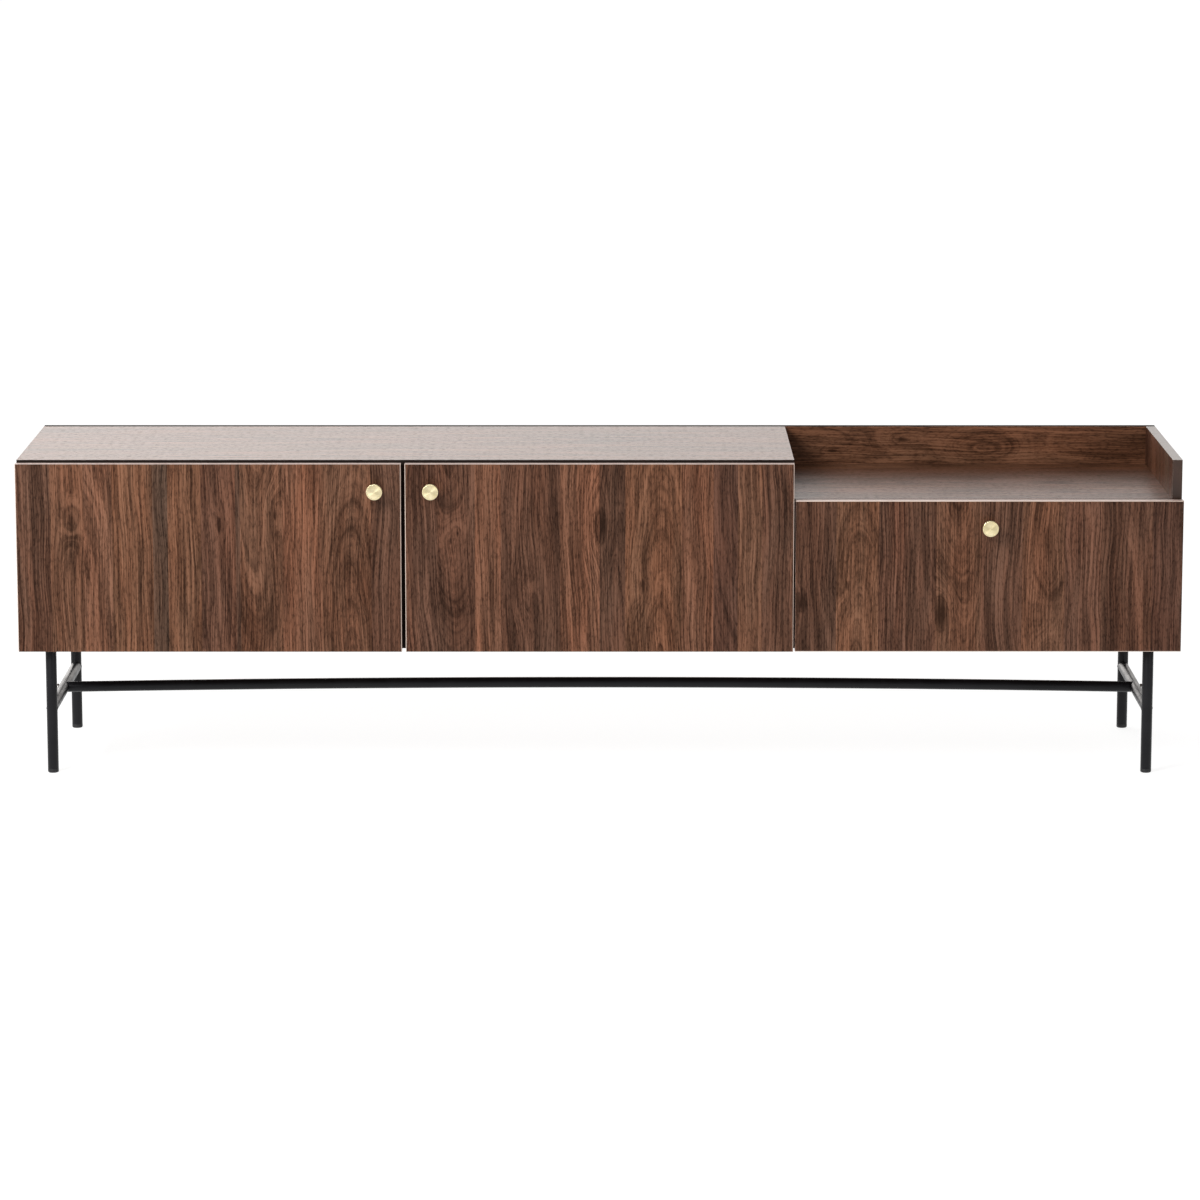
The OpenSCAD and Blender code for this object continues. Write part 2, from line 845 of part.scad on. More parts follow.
module strike_screw_hole() {
    translate([bay_mid, y_front + front_t - 10, magnet_z + magnet[2] / 2])
        rod_y(screw_r + screw_clear, 10 + e);
}

module catch_strike() {
    nickel() {
        translate([bay_mid - strike[0] / 2, y_front + front_t, magnet_z]) cube(strike);
        translate([bay_mid, y_front + front_t - 9, magnet_z + magnet[2] / 2]) rod_y(screw_r, 9 + e);
    }
}

// ---------- flap stays ----------
stay_sides = [-1, 1];
function wall_x(s) = s < 0 ? door_mid_r : side_in;
function arm_x(s) = wall_x(s) - s * arm_gap - (s > 0 ? arm_t : 0);
bracket_off = arm_gap + arm_t + 0.5;

module stay_studs() {
    nickel() for (s = stay_sides)
        translate([wall_x(s), stay_g[0], stay_g[1]]) mirror([s > 0 ? 1 : 0, 0, 0]) {
            translate([-9, 0, 0]) rod_x(screw_r, 9 + e);
            rod_x(stud_r + 2.5, arm_gap - 0.5);
            rod_x(stud_r, arm_gap + arm_t + 0.5);
            translate([arm_gap + arm_t + 0.5, 0, 0]) rod_x(stud_r + 2.5, 1.5);
        }
}

// Slotted arm lying from F towards G
module stay_arm(s) {
    dir = stay_g - stay_f;
    turn = atan2(dir[1], dir[0]);
    nickel() translate([arm_x(s), stay_f[0], stay_f[1]]) rotate([turn, 0, 0]) rotate([90, 0, 90])
        difference() {
            linear_extrude(arm_t) {
                circle(r = arm_half);
                translate([0, -arm_half]) square([slot_to + slot_spare, 2 * arm_half]);
                translate([slot_to + slot_spare, 0]) circle(r = arm_half);
            }
            translate([0, 0, -e]) cylinder(r = stay_pin_r + fit, h = arm_t + 2 * e);
            translate([0, 0, -e]) linear_extrude(arm_t + 2 * e) {
                translate([slot_from - slot_spare, 0]) circle(r = slot_r);
                translate([slot_from - slot_spare, -slot_r])
                    square([slot_to - slot_from + 2 * slot_spare, 2 * slot_r]);
                translate([slot_to + slot_spare, 0]) circle(r = slot_r);
            }
        }
}

module stay_arm_left() { stay_arm(-1); }
module stay_arm_right() { stay_arm(1); }

module bracket_screws_at(r) {
    for (s = stay_sides, h = [-11, 11])
        translate([wall_x(s) - s * (bracket_off + bracket_w / 2 + 3), y_front + front_t - 10, stay_f[1] + h])
            rod_y(r, 10 + e);
}

// Angle bracket on the flap's back, with the pin that the arm turns on
module stay_brackets() {
    nickel() for (s = stay_sides)
        translate([wall_x(s), y_front + front_t, stay_f[1]]) mirror([s > 0 ? 1 : 0, 0, 0]) {
            translate([bracket_off, 0, -bracket_h / 2]) cube([bracket_w, bracket_t, bracket_h]);
            translate([bracket_off, 0, -8]) cube([bracket_t, stay_f[0] - y_front - front_t, 16]);
            translate([bracket_off, stay_f[0] - y_front - front_t, 0]) rod_x(8, bracket_t);
            translate([arm_gap - 1.5, stay_f[0] - y_front - front_t, 0])
                rod_x(stay_pin_r, bracket_off - arm_gap + 2);
            translate([arm_gap - 2.5, stay_f[0] - y_front - front_t, 0]) rod_x(stay_pin_r + 2, 2);
            for (h = [-11, 11])
                translate([bracket_off + bracket_w / 2 + 3, 0, h]) {
                    translate([0, -9, 0]) rod_y(screw_r, 9 + e);
                    translate([0, bracket_t - e, 0]) rod_y(head_r * 0.85, head_t);
                }
        }
}

bottom_panel();
side_panel_left();
side_panel_right();
divider_mid();
divider_tray();
top_panel();
tray_panel();
back_board();
cable_grommets();
cam_locks();
cam_bolts();
dowels();
back_screws();
leg_front_left();
leg_front_right();
leg_rear_left();
leg_rear_right();
mounting_rail_left();
mounting_rail_right();
rail_screws();
crossbar_left();
crossbar_right();
stretcher();
stretcher_inserts();
stretcher_bolts();
foot_glides();
hinge_arms_left();
hinge_arms_middle();
hinge_arms_flap();
hinge_plates();
hinge_plate_screws();
hinge_arm_screws();
stay_studs();
catch_magnet();
catch_screws();
door_left();
hinge_cups_left();
hinge_pins_left();
cup_screws_left();
knob_left();
knob_screw_left();
bumpers_left();
door_middle();
hinge_cups_middle();
hinge_pins_middle();
cup_screws_middle();
knob_middle();
knob_screw_middle();
bumpers_middle();
flap_panel();
hinge_cups_flap();
hinge_pins_flap();
cup_screws_flap();
knob_flap();
knob_screw_flap();
bumpers_flap();
catch_strike();
stay_brackets();
stay_arm_left();
stay_arm_right();
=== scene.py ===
"""Looks of the walnut tv stand: boards, fronts, knobs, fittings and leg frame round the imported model."""

import json
import logging
import math
from collections.abc import Callable, Sequence
from dataclasses import dataclass, field
from enum import Enum

import bmesh
import bpy
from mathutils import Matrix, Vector

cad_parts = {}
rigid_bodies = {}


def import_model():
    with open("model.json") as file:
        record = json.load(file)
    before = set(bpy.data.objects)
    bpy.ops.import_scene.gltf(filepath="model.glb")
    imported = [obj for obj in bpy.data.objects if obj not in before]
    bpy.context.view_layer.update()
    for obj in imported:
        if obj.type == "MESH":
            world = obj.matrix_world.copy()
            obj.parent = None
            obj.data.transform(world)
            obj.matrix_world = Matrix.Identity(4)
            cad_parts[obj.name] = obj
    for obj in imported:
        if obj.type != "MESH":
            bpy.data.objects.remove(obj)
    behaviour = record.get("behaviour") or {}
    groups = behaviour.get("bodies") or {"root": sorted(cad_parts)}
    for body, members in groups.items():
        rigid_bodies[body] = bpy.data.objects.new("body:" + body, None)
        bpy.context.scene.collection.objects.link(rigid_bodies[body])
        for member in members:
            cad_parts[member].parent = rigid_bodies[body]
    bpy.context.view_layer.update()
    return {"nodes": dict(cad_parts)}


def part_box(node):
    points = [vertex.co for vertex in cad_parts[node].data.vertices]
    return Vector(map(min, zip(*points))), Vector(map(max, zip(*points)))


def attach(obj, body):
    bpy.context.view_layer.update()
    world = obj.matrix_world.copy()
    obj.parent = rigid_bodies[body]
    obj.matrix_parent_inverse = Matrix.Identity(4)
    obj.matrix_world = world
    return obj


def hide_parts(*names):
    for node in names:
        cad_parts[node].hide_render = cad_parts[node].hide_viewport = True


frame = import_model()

LOG = logging.getLogger("tv_stand")
MM = 0.001
FRONT_TO_BACK = (-math.pi / 2, 0.0, 0.0)
FRONT_BODIES = {"left": "door_left", "middle": "door_middle", "flap": "flap"}
# How squarely a face looks along an axis, at the least, to be flat, to be unslanted, or to lie broad.
FLAT, SQUARE, BROAD = 0.9999, 0.97, 0.8
# How deep a board's broad side and a screw's end reach.
SKIN, END = 0.1 * MM, 0.3 * MM
Socket = bpy.types.NodeSocket
Piece = bpy.types.Object
Material = bpy.types.Material
Colour = tuple[float, float, float]


# ---------- bench: how meshes are made ----------
def clear_selection() -> None:
    """Leaves object mode on, nothing selected and no piece active."""
    if bpy.context.object is not None and bpy.context.object.mode != "OBJECT":
        bpy.ops.object.mode_set(mode="OBJECT")
    for piece in bpy.context.view_layer.objects:
        piece.select_set(False)
    bpy.context.view_layer.objects.active = None


def hold(*pieces: Piece) -> None:
    """Selects these pieces alone; the first one is active."""
    clear_selection()
    for piece in pieces:
        piece.select_set(True)
    bpy.context.view_layer.objects.active = pieces[0]


class Bench:
    """One piece held in edit mode, with the steps that shape it.

    Args:
        piece: the mesh object to shape.
    """

    def __init__(self, piece: Piece) -> None:
        """Holds the piece alone."""
        hold(piece)
        self.piece = piece

    def __enter__(self) -> "Bench":
        """Opens the piece for shaping."""
        bpy.ops.object.mode_set(mode="EDIT")
        return self

    def __exit__(self, *_: object) -> None:
        """Closes the piece again."""
        bpy.ops.object.mode_set(mode="OBJECT")

    def faces(self, test: Callable[[bmesh.types.BMFace], bool]) -> None:
        """Selects the faces that pass a test, and nothing else."""
        self._take("FACE", test)

    def edges(self, test: Callable[[bmesh.types.BMEdge], bool]) -> None:
        """Selects the edges that pass a test, and nothing else."""
        self._take("EDGE", test)

    def _take(self, kind: str, test: Callable[[object], bool]) -> None:
        """Selects the faces or the edges that pass a test, and nothing else.

        Args:
            kind: FACE or EDGE.
            test: says whether one of them is taken.
        """
        bpy.ops.mesh.select_mode(type=kind)
        bpy.ops.mesh.select_all(action="DESELECT")
        mesh = bmesh.from_edit_mesh(self.piece.data)
        for part in mesh.faces if kind == "FACE" else mesh.edges:
            if test(part):
                part.select_set(True)
        mesh.select_flush_mode()
        bmesh.update_edit_mesh(self.piece.data)

    def extrude(self, shift: Sequence[float]) -> None:
        """Extrudes what is selected and moves it by shift."""
        bpy.ops.mesh.extrude_region_move(TRANSFORM_OT_translate={"value": tuple(shift)})

    def inset(self, thickness: float, depth: float = 0.0) -> None:
        """Insets what is selected by thickness, and raises it by depth."""
        bpy.ops.mesh.inset(thickness=thickness, depth=depth, use_even_offset=True)

    def resize(self, factor: Sequence[float], centre: Sequence[float]) -> None:
        """Scales what is selected about centre."""
        bpy.ops.transform.resize(value=tuple(factor), center_override=tuple(centre))

    def bevel(self, width: float, segments: int) -> None:
        """Rounds the selected edges."""
        bpy.ops.mesh.bevel(offset=width, segments=segments, profile=0.5, affect="EDGES", clamp_overlap=False)


def settle(piece: Piece, name: str) -> Piece:
    """Names a piece and puts its place into its mesh, so that its object sits at the origin.

    Args:
        piece: the piece to settle.
        name: its name from now on.

    Returns:
        The same piece.
    """
    hold(piece)
    bpy.ops.object.transform_apply(location=True, rotation=True, scale=True)
    piece.name = name
    piece.data.name = name
    return piece


def turned_bar(name: str, radius: float, length: float, centre: Sequence[float], sides: int = 96) -> Piece:
    """A round bar, lying from front to back, to start a turned piece from.

    Args:
        name: the piece's name.
        radius: its radius.
        length: its length.
        centre: its middle.
        sides: how many sides its round has.

    Returns:
        The bar, settled.
    """
    clear_selection()
    bpy.ops.mesh.primitive_cylinder_add(
        vertices=sides, radius=radius, depth=length, location=tuple(centre), rotation=FRONT_TO_BACK
    )
    return settle(bpy.context.object, name)


def block(name: str, low: Sequence[float], high: Sequence[float]) -> Piece:
    """A block between two corners to start a piece from.

    Args:
        name: the piece's name.
        low: its lowest corner.
        high: its highest corner.

    Returns:
        The block, settled.
    """
    clear_selection()
    low, high = Vector(low), Vector(high)
    bpy.ops.mesh.primitive_cube_add(size=1, location=(low + high) / 2)
    bpy.context.object.scale = high - low
    return settle(bpy.context.object, name)


def finish_with(piece: Piece, kind: str, **settings: object) -> None:
    """Adds one modifier with these settings and applies it.

    Args:
        piece: the piece that gets it.
        kind: the modifier's type.
        settings: its values by name.
    """
    hold(piece)
    modifier = piece.modifiers.new(kind.lower(), kind)
    for key, value in settings.items():
        setattr(modifier, key, value)
    bpy.ops.object.modifier_apply(modifier=modifier.name)


def cut(piece: Piece, tool: Piece) -> None:
    """Cuts the tool's shape out of the piece, and throws the tool away."""
    finish_with(piece, "BOOLEAN", object=tool, operation="DIFFERENCE", solver="EXACT")
    bpy.data.objects.remove(tool)


def join(name: str, pieces: Sequence[Piece]) -> Piece:
    """Makes one piece of several.

    Args:
        name: the name of the whole.
        pieces: what is joined, the first one first.

    Returns:
        The joined piece.
    """
    hold(*pieces)
    if len(pieces) > 1:
        bpy.ops.object.join()
    pieces[0].name = name
    pieces[0].data.name = name
    return pieces[0]


def smooth(piece: Piece, degrees: float = 35.0) -> None:
    """Shades a piece smooth where its faces meet at less than this angle; flat sides stay flat."""
    hold(piece)
    bpy.ops.object.shade_smooth_by_angle(angle=math.radians(degrees))
    for polygon in piece.data.polygons:
        if max(abs(c) for c in polygon.normal) > FLAT:
            polygon.use_smooth = False


def merged_copy(node: str, name: str) -> Piece:
    """A copy of a CAD node with its loose triangles merged and its flat sides made whole.

    Args:
        node: the CAD node.
        name: the copy's name.

    Returns:
        The copy.
    """
    copy = bpy.data.objects.new(name, frame["nodes"][node].data.copy())
    bpy.context.scene.collection.objects.link(copy)
    copy.data.name = name
    copy.data.materials.clear()
    with Bench(copy):
        bpy.ops.mesh.select_all(action="SELECT")
        bpy.ops.mesh.remove_doubles(threshold=0.002 * MM)
        bpy.ops.mesh.dissolve_limited(angle_limit=math.radians(0.3))
        bpy.ops.mesh.customdata_custom_splitnormals_clear()
    return copy


def ease(piece: Piece, width: float, segments: int = 2, degrees: float = 40.0) -> None:
    """Takes the sharpness off every edge that is sharper than an angle.

    Args:
        piece: the piece to ease.
        width: how far the rounding reaches from the edge.
        segments: how many facets it has.
        degrees: the least angle between the faces of an edge that is eased.
    """
    finish_with(
        piece,
        "BEVEL",
        width=width,
        segments=segments,
        limit_method="ANGLE",
        angle_limit=math.radians(degrees),
        use_clamp_overlap=True,
        miter_outer="MITER_ARC",
    )


def islands(mesh: bpy.types.Mesh) -> list[list[Vector]]:
    """The separate bodies of a mesh, each as its points.

    Args:
        mesh: a merged mesh.

    Returns:
        One list of points for each body.
    """
    shape = bmesh.new()
    shape.from_mesh(mesh)
    shape.verts.ensure_lookup_table()
    seen: set[int] = set()
    found = []
    for start in shape.verts:
        if start.index in seen:
            continue
        group, queue = [], [start]
        seen.add(start.index)
        while queue:
            vert = queue.pop()
            group.append(vert.co.copy())
            for edge in vert.link_edges:
                other = edge.other_vert(vert)
                if other.index not in seen:
                    seen.add(other.index)
                    queue.append(other)
        found.append(group)
    shape.free()
    return found


# ---------- paint shop: how materials are made ----------
class NodeDesk:
    """Adds and joins the nodes of one material.

    Args:
        name: the material's name.
    """

    def __init__(self, name: str) -> None:
        """Starts with a Principled shader joined to the output."""
        self.material = bpy.data.materials.new(name)
        self.material.use_nodes = True
        self.tree = self.material.node_tree
        self.tree.nodes.clear()
        output = self.tree.nodes.new("ShaderNodeOutputMaterial")
        self.shader = self.tree.nodes.new("ShaderNodeBsdfPrincipled")
        self.tree.links.new(self.shader.outputs[0], output.inputs[0])

    def feed(self, target: Socket, value: object) -> None:
        """Links a socket to the target, or sets the target's own value."""
        if isinstance(value, bpy.types.NodeSocket):
            self.tree.links.new(value, target)
        else:
            target.default_value = value

    def put(self, **values: object) -> None:
        """Feeds the shader's sockets, named with underscores for spaces."""
        for key, value in values.items():
            if isinstance(value, tuple) and len(value) == 3:
                value = (*value, 1.0)
            self.feed(self.shader.inputs[key.replace("_", " ")], value)

    def place(self) -> tuple[Socket, Socket, Socket]:
        """The point's X, Y and Z on the object, in metres."""
        source = self.tree.nodes.new("ShaderNodeTexCoord").outputs["Object"]
        return self.split(source)

    def split(self, vector: Socket) -> tuple[Socket, Socket, Socket]:
        """The three parts of a vector or colour."""
        node = self.tree.nodes.new("ShaderNodeSeparateXYZ")
        self.feed(node.inputs[0], vector)
        return node.outputs[0], node.outputs[1], node.outputs[2]

    def bundle(self, x: object, y: object, z: object) -> Socket:
        """A vector made of three values."""
        node = self.tree.nodes.new("ShaderNodeCombineXYZ")
        for target, value in zip(node.inputs, (x, y, z)):
            self.feed(target, value)
        return node.outputs[0]

    def stretch(self, *parts: object) -> Socket:
        """A point to read a pattern at, made of three parts, each a value or a value with its rate."""
        scaled = [self.math("MULTIPLY", *part) if isinstance(part, tuple) else part for part in parts]
        return self.bundle(*scaled)

    def math(
        self, operation: str, a: object, b: object = 0.0, c: object = 0.0, clamp: bool = False
    ) -> Socket:
        """One step of arithmetic.

        Args:
            operation: the Math node's operation.
            a: its first value.
            b: its second value.
            c: its third value.
            clamp: whether the result is kept between 0 and 1.

        Returns:
            The result's socket.
        """
        node = self.tree.nodes.new("ShaderNodeMath")
        node.operation = operation
        node.use_clamp = clamp
        for target, value in zip(node.inputs, (a, b, c)):
            self.feed(target, value)
        return node.outputs[0]

    def noise(
        self,
        point: Socket,
        scale: float = 1.0,
        detail: float = 2.0,
        rough: float = 0.5,
        distortion: float = 0.0,
    ) -> Socket:
        """A cloudy value from 0 to 1.

        Args:
            point: where it is read.
            scale: how many clouds there are in a metre.
            detail: how many finer layers it has.
            rough: how strong the finer layers are.
            distortion: how far it is stirred.

        Returns:
            The value's socket.
        """
        node = self.tree.nodes.new("ShaderNodeTexNoise")
        self.feed(node.inputs["Vector"], point)
        node.inputs["Scale"].default_value = scale
        node.inputs["Detail"].default_value = detail
        node.inputs["Roughness"].default_value = rough
        node.inputs["Distortion"].default_value = distortion
        return node.outputs["Fac"]

    def spread(
        self, value: Socket, low: float, high: float, to_low: float = 0.0, to_high: float = 1.0
    ) -> Socket:
        """A value from one range laid onto another, and kept inside it.

        Args:
            value: the value.
            low: where the first range starts.
            high: where it ends.
            to_low: where the second range starts.
            to_high: where it ends.

        Returns:
            The new value's socket.
        """
        node = self.tree.nodes.new("ShaderNodeMapRange")
        self.feed(node.inputs[0], value)
        for target, number in zip(node.inputs[1:5], (low, high, to_low, to_high)):
            target.default_value = number
        return node.outputs[0]

    def ramp(
        self, value: Socket, stops: Sequence[tuple[float, Sequence[float]]], steps: bool = False
    ) -> tuple[Socket, Socket]:
        """Colours along a value.

        Args:
            value: the value, from 0 to 1.
            stops: place and colour of each stop, a fourth number being its alpha.
            steps: whether the colour jumps at each stop.

        Returns:
            The sockets of the colour and of the alpha.
        """
        node = self.tree.nodes.new("ShaderNodeValToRGB")
        self.feed(node.inputs[0], value)
        bar = node.color_ramp
        bar.interpolation = "CONSTANT" if steps else "LINEAR"
        while len(bar.elements) < len(stops):
            bar.elements.new(1.0)
        for element, (position, colour) in zip(bar.elements, stops):
            element.position = position
            element.color = tuple(colour) if len(colour) == 4 else (*colour, 1.0)
        return node.outputs[0], node.outputs[1]

    def mix(self, share: object, a: object, b: object, blend: str = "MIX") -> Socket:
        """Two colours mixed.

        Args:
            share: how much of the second is taken.
            a: the first colour.
            b: the second colour.
            blend: the Mix node's blend type.

        Returns:
            The mixed colour's socket.
        """
        node = self.tree.nodes.new("ShaderNodeMix")
        node.data_type = "RGBA"
        node.blend_type = blend
        self.feed(node.inputs[0], share)
        for target, value in ((node.inputs[6], a), (node.inputs[7], b)):
            if isinstance(value, tuple) and len(value) == 3:
                value = (*value, 1.0)
            self.feed(target, value)
        return node.outputs[2]

    def brush(self, across: object, up: object, pull: float) -> None:
        """Brushes the surface along a direction that lies in the plane of X and Z.

        Args:
            across: the direction's X.
            up: its Z.
            pull: how far the gloss is drawn out across it, from 0 to 1.
        """
        node = self.tree.nodes.new("ShaderNodeVectorTransform")
        node.vector_type = "VECTOR"
        node.convert_from, node.convert_to = "OBJECT", "WORLD"
        self.feed(node.inputs[0], self.bundle(across, 0.0, up))
        self.put(Anisotropic=pull, Tangent=node.outputs[0])

    def bump(self, height: Socket, distance: float, strength: float = 1.0) -> None:
        """Lets a height dent the surface.

        Args:
            height: the height, from 0 to 1.
            distance: how deep a dent may be.
            strength: how much of it is seen.
        """
        node = self.tree.nodes.new("ShaderNodeBump")
        node.inputs["Strength"].default_value = strength
        node.inputs["Distance"].default_value = distance
        self.feed(node.inputs["Height"], height)
        self.tree.links.new(node.outputs[0], self.shader.inputs["Normal"])


class Grain(Enum):
    """How veneer lies on a board: which axis runs across the grain, along it and into the board."""

    FRONT = ("X", "Z", "Y")
    LEVEL = ("Y", "X", "Z")
    SIDE = ("Y", "Z", "X")
    BACK = ("Z", "X", "Y")

    @property
    def order(self) -> tuple[int, int, int]:
        """The axes as numbers: across, along, into."""
        return tuple("XYZ".index(axis) for axis in self.value)


class Tone(Enum):
    """Mean colour of a strip of walnut veneer, light to dark."""

    ROSE = (0.174, 0.080, 0.049)
    COPPER = (0.163, 0.077, 0.045)
    CHESTNUT = (0.149, 0.070, 0.042)
    HAZEL = (0.133, 0.063, 0.041)
    DUSK = (0.124, 0.062, 0.041)
    UMBER = (0.117, 0.056, 0.036)
    SMOKE = (0.090, 0.051, 0.035)
    COCOA = (0.103, 0.049, 0.031)
    BARK = (0.089, 0.041, 0.027)
    SHADOW = (0.080, 0.042, 0.028)


@dataclass(frozen=True)
class Sawing:
    """How a strip was sawn from its log.

    Args:
        pith: where the log's middle lies, in strip widths from the strip's middle.
        depth: how deep the log's middle lies under the strip at the board's middle, in metres.
        slope: how fast that depth grows upwards, which sets how pointed its arches are.
        rings: how strongly the year rings show, from 0 to 1.
    """

    pith: float
    depth: float
    slope: float
    rings: float


class Figure(Enum):
    """Named ways of sawing, after the pattern that each one shows."""

    PLAIN = Sawing(9.0, 0.0, 0.0, 0.15)
    STRIPED = Sawing(-9.0, 0.0, 0.0, 0.75)
    ARCH = Sawing(0.1, 0.030, 0.16, 0.7)
    BOWL = Sawing(-0.05, 0.034, -0.17, 0.8)
    LEFT_FLAME = Sawing(-0.9, 0.022, 0.2, 0.45)
    RIGHT_FLAME = Sawing(0.9, 0.022, -0.2, 0.45)
    EYE = Sawing(0.15, 0.004, 0.12, 0.5)


@dataclass(frozen=True)
class Strip:
    """One strip of veneer: its width in millimetres, its colour and its figure."""

    width: float
    tone: Tone
    figure: Figure


@dataclass(frozen=True)
class Knot:
    """A knot in a board, or a swirl of the grain where there is no knot, in millimetres.

    Args:
        across: its place across the grain, from the board's low corner.
        along: its place along the grain, from the board's low corner.
        radius: the radius of its dark heart, 0 for a swirl.
        swell: how far the rings swell round it.
    """

    across: float
    along: float
    radius: float
    swell: float


# How far a knot's pull on the grain reaches and how strong it is, in its swells.
KNOT_REACH, KNOT_PULL = 1.3, 0.6
# How far a knot's dark heart fades, in its radii, and how dark it is.
HEART_REACH, HEART_DARK = 1.6, 0.55
# How much a knot swells the rings, and how much a distance along the grain counts from it.
KNOT_RINGS, KNOT_ALONG = 1.8, 0.12
# How streaks dim the mean colour of a strip, from the darkest to the lightest, and how its hue drifts.
WALNUT_GAIN = (
    (0.0, (0.140, 0.134, 0.130)),
    (0.25, (0.270, 0.266, 0.262)),
    (0.5, (0.450, 0.450, 0.450)),
    (0.72, (0.695, 0.700, 0.700)),
    (1.0, (0.96, 1.0, 1.03)),
)
WALNUT_COOL = (1.93, 2.05, 2.14)
WALNUT_WARM = (2.12, 1.98, 1.90)
# How dark a year ring is, from one ring to the next: pale early wood, then late wood that ends sharply.
RING_PROFILE = ((0.0, 0.25), (0.12, 0.0), (0.62, 0.1), (0.9, 1.0), (1.0, 0.25))
# Veneer layouts of this stand: strips from the low side across the grain, and knots.
LEFT_DOOR_STRIPS = (
    Strip(53, Tone.UMBER, Figure.STRIPED),
    Strip(51, Tone.CHESTNUT, Figure.EYE),
    Strip(43, Tone.ROSE, Figure.LEFT_FLAME),
    Strip(63, Tone.COPPER, Figure.STRIPED),
    Strip(24, Tone.SMOKE, Figure.PLAIN),
    Strip(51, Tone.COPPER, Figure.STRIPED),
    Strip(53, Tone.HAZEL, Figure.RIGHT_FLAME),
    Strip(7, Tone.SHADOW, Figure.PLAIN),
    Strip(64, Tone.CHESTNUT, Figure.BOWL),
    Strip(60, Tone.ROSE, Figure.PLAIN),
    Strip(78, Tone.CHESTNUT, Figure.ARCH),
    Strip(47, Tone.UMBER, Figure.STRIPED),
)
MIDDLE_DOOR_STRIPS = (
    Strip(48, Tone.HAZEL, Figure.STRIPED),
    Strip(58, Tone.UMBER, Figure.BOWL),
    Strip(40, Tone.ROSE, Figure.PLAIN),
    Strip(46, Tone.UMBER, Figure.STRIPED),
    Strip(46, Tone.COCOA, Figure.LEFT_FLAME),
    Strip(62, Tone.ROSE, Figure.STRIPED),
    Strip(39, Tone.COCOA, Figure.EYE),
    Strip(86, Tone.COPPER, Figure.ARCH),
    Strip(49, Tone.ROSE, Figure.STRIPED),
    Strip(37, Tone.BARK, Figure.RIGHT_FLAME),
    Strip(38, Tone.CHESTNUT, Figure.PLAIN),
    Strip(51, Tone.UMBER, Figure.STRIPED),
)
FLAP_STRIPS = (
    Strip(62, Tone.COCOA, Figure.RIGHT_FLAME),
    Strip(64, Tone.COPPER, Figure.ARCH),
    Strip(42, Tone.HAZEL, Figure.STRIPED),
    Strip(48, Tone.UMBER, Figure.PLAIN),
    Strip(70, Tone.CHESTNUT, Figure.BOWL),
    Strip(63, Tone.UMBER, Figure.STRIPED),
    Strip(64, Tone.CHESTNUT, Figure.EYE),
    Strip(57, Tone.HAZEL, Figure.PLAIN),
    Strip(39, Tone.COCOA, Figure.STRIPED),
    Strip(40, Tone.UMBER, Figure.LEFT_FLAME),
    Strip(48, Tone.BARK, Figure.STRIPED),
)
CASE_STRIPS = (
    Strip(55, Tone.UMBER, Figure.STRIPED),
    Strip(62, Tone.CHESTNUT, Figure.ARCH),
    Strip(48, Tone.COCOA, Figure.PLAIN),
    Strip(58, Tone.HAZEL, Figure.EYE),
    Strip(44, Tone.COPPER, Figure.STRIPED),
    Strip(60, Tone.UMBER, Figure.BOWL),
    Strip(51, Tone.DUSK, Figure.STRIPED),
)
LEFT_DOOR_KNOTS = (Knot(86, 203, 4, 12), Knot(313, 200, 3, 10), Knot(400, 215, 2, 22))
MIDDLE_DOOR_KNOTS = (
    Knot(70, 174, 1.5, 6),
    Knot(81, 186, 1.5, 8),
    Knot(302, 197, 7, 26),
    Knot(366, 103, 3, 12),
    Knot(186, 92, 0, 14),
)
FLAP_KNOTS = (Knot(11, 80, 5, 12), Knot(80, 104, 2, 8), Knot(225, 60, 7, 18), Knot(388, 60, 0, 20))
BACK_KNOTS = (Knot(274, 1389, 3, 12), Knot(256, 1276, 2, 6), Knot(266, 1520, 0, 22), Knot(180, 700, 4, 16))
TOP_STRIPS = (
    Strip(92, Tone.HAZEL, Figure.STRIPED),
    Strip(74, Tone.DUSK, Figure.PLAIN),
    Strip(88, Tone.HAZEL, Figure.ARCH),
    Strip(70, Tone.UMBER, Figure.STRIPED),
    Strip(42, Tone.DUSK, Figure.PLAIN),
)
BACK_STRIPS = (
    Strip(60, Tone.UMBER, Figure.STRIPED),
    Strip(56, Tone.HAZEL, Figure.BOWL),
    Strip(62, Tone.COCOA, Figure.PLAIN),
    Strip(46, Tone.CHESTNUT, Figure.STRIPED),
    Strip(71, Tone.COPPER, Figure.ARCH),
)
SIDE_STRIPS = (
    Strip(40, Tone.BARK, Figure.STRIPED),
    Strip(52, Tone.SMOKE, Figure.PLAIN),
    Strip(58, Tone.COCOA, Figure.STRIPED),
    Strip(64, Tone.COCOA, Figure.PLAIN),
    Strip(54, Tone.HAZEL, Figure.EYE),
    Strip(68, Tone.BARK, Figure.STRIPED),
)


class Finish:
    """What all finishes share: each has a name, and mixes its own nodes at a desk."""

    name: str

    def material(self) -> Material:
        """Builds the material.

        Returns:
            The finished material.
        """
        desk = NodeDesk(self.name)
        self.mix(desk)
        return desk.material

    def mix(self, desk: NodeDesk) -> None:
        """Lays and joins this finish's nodes; each finish has its own way."""
        raise NotImplementedError


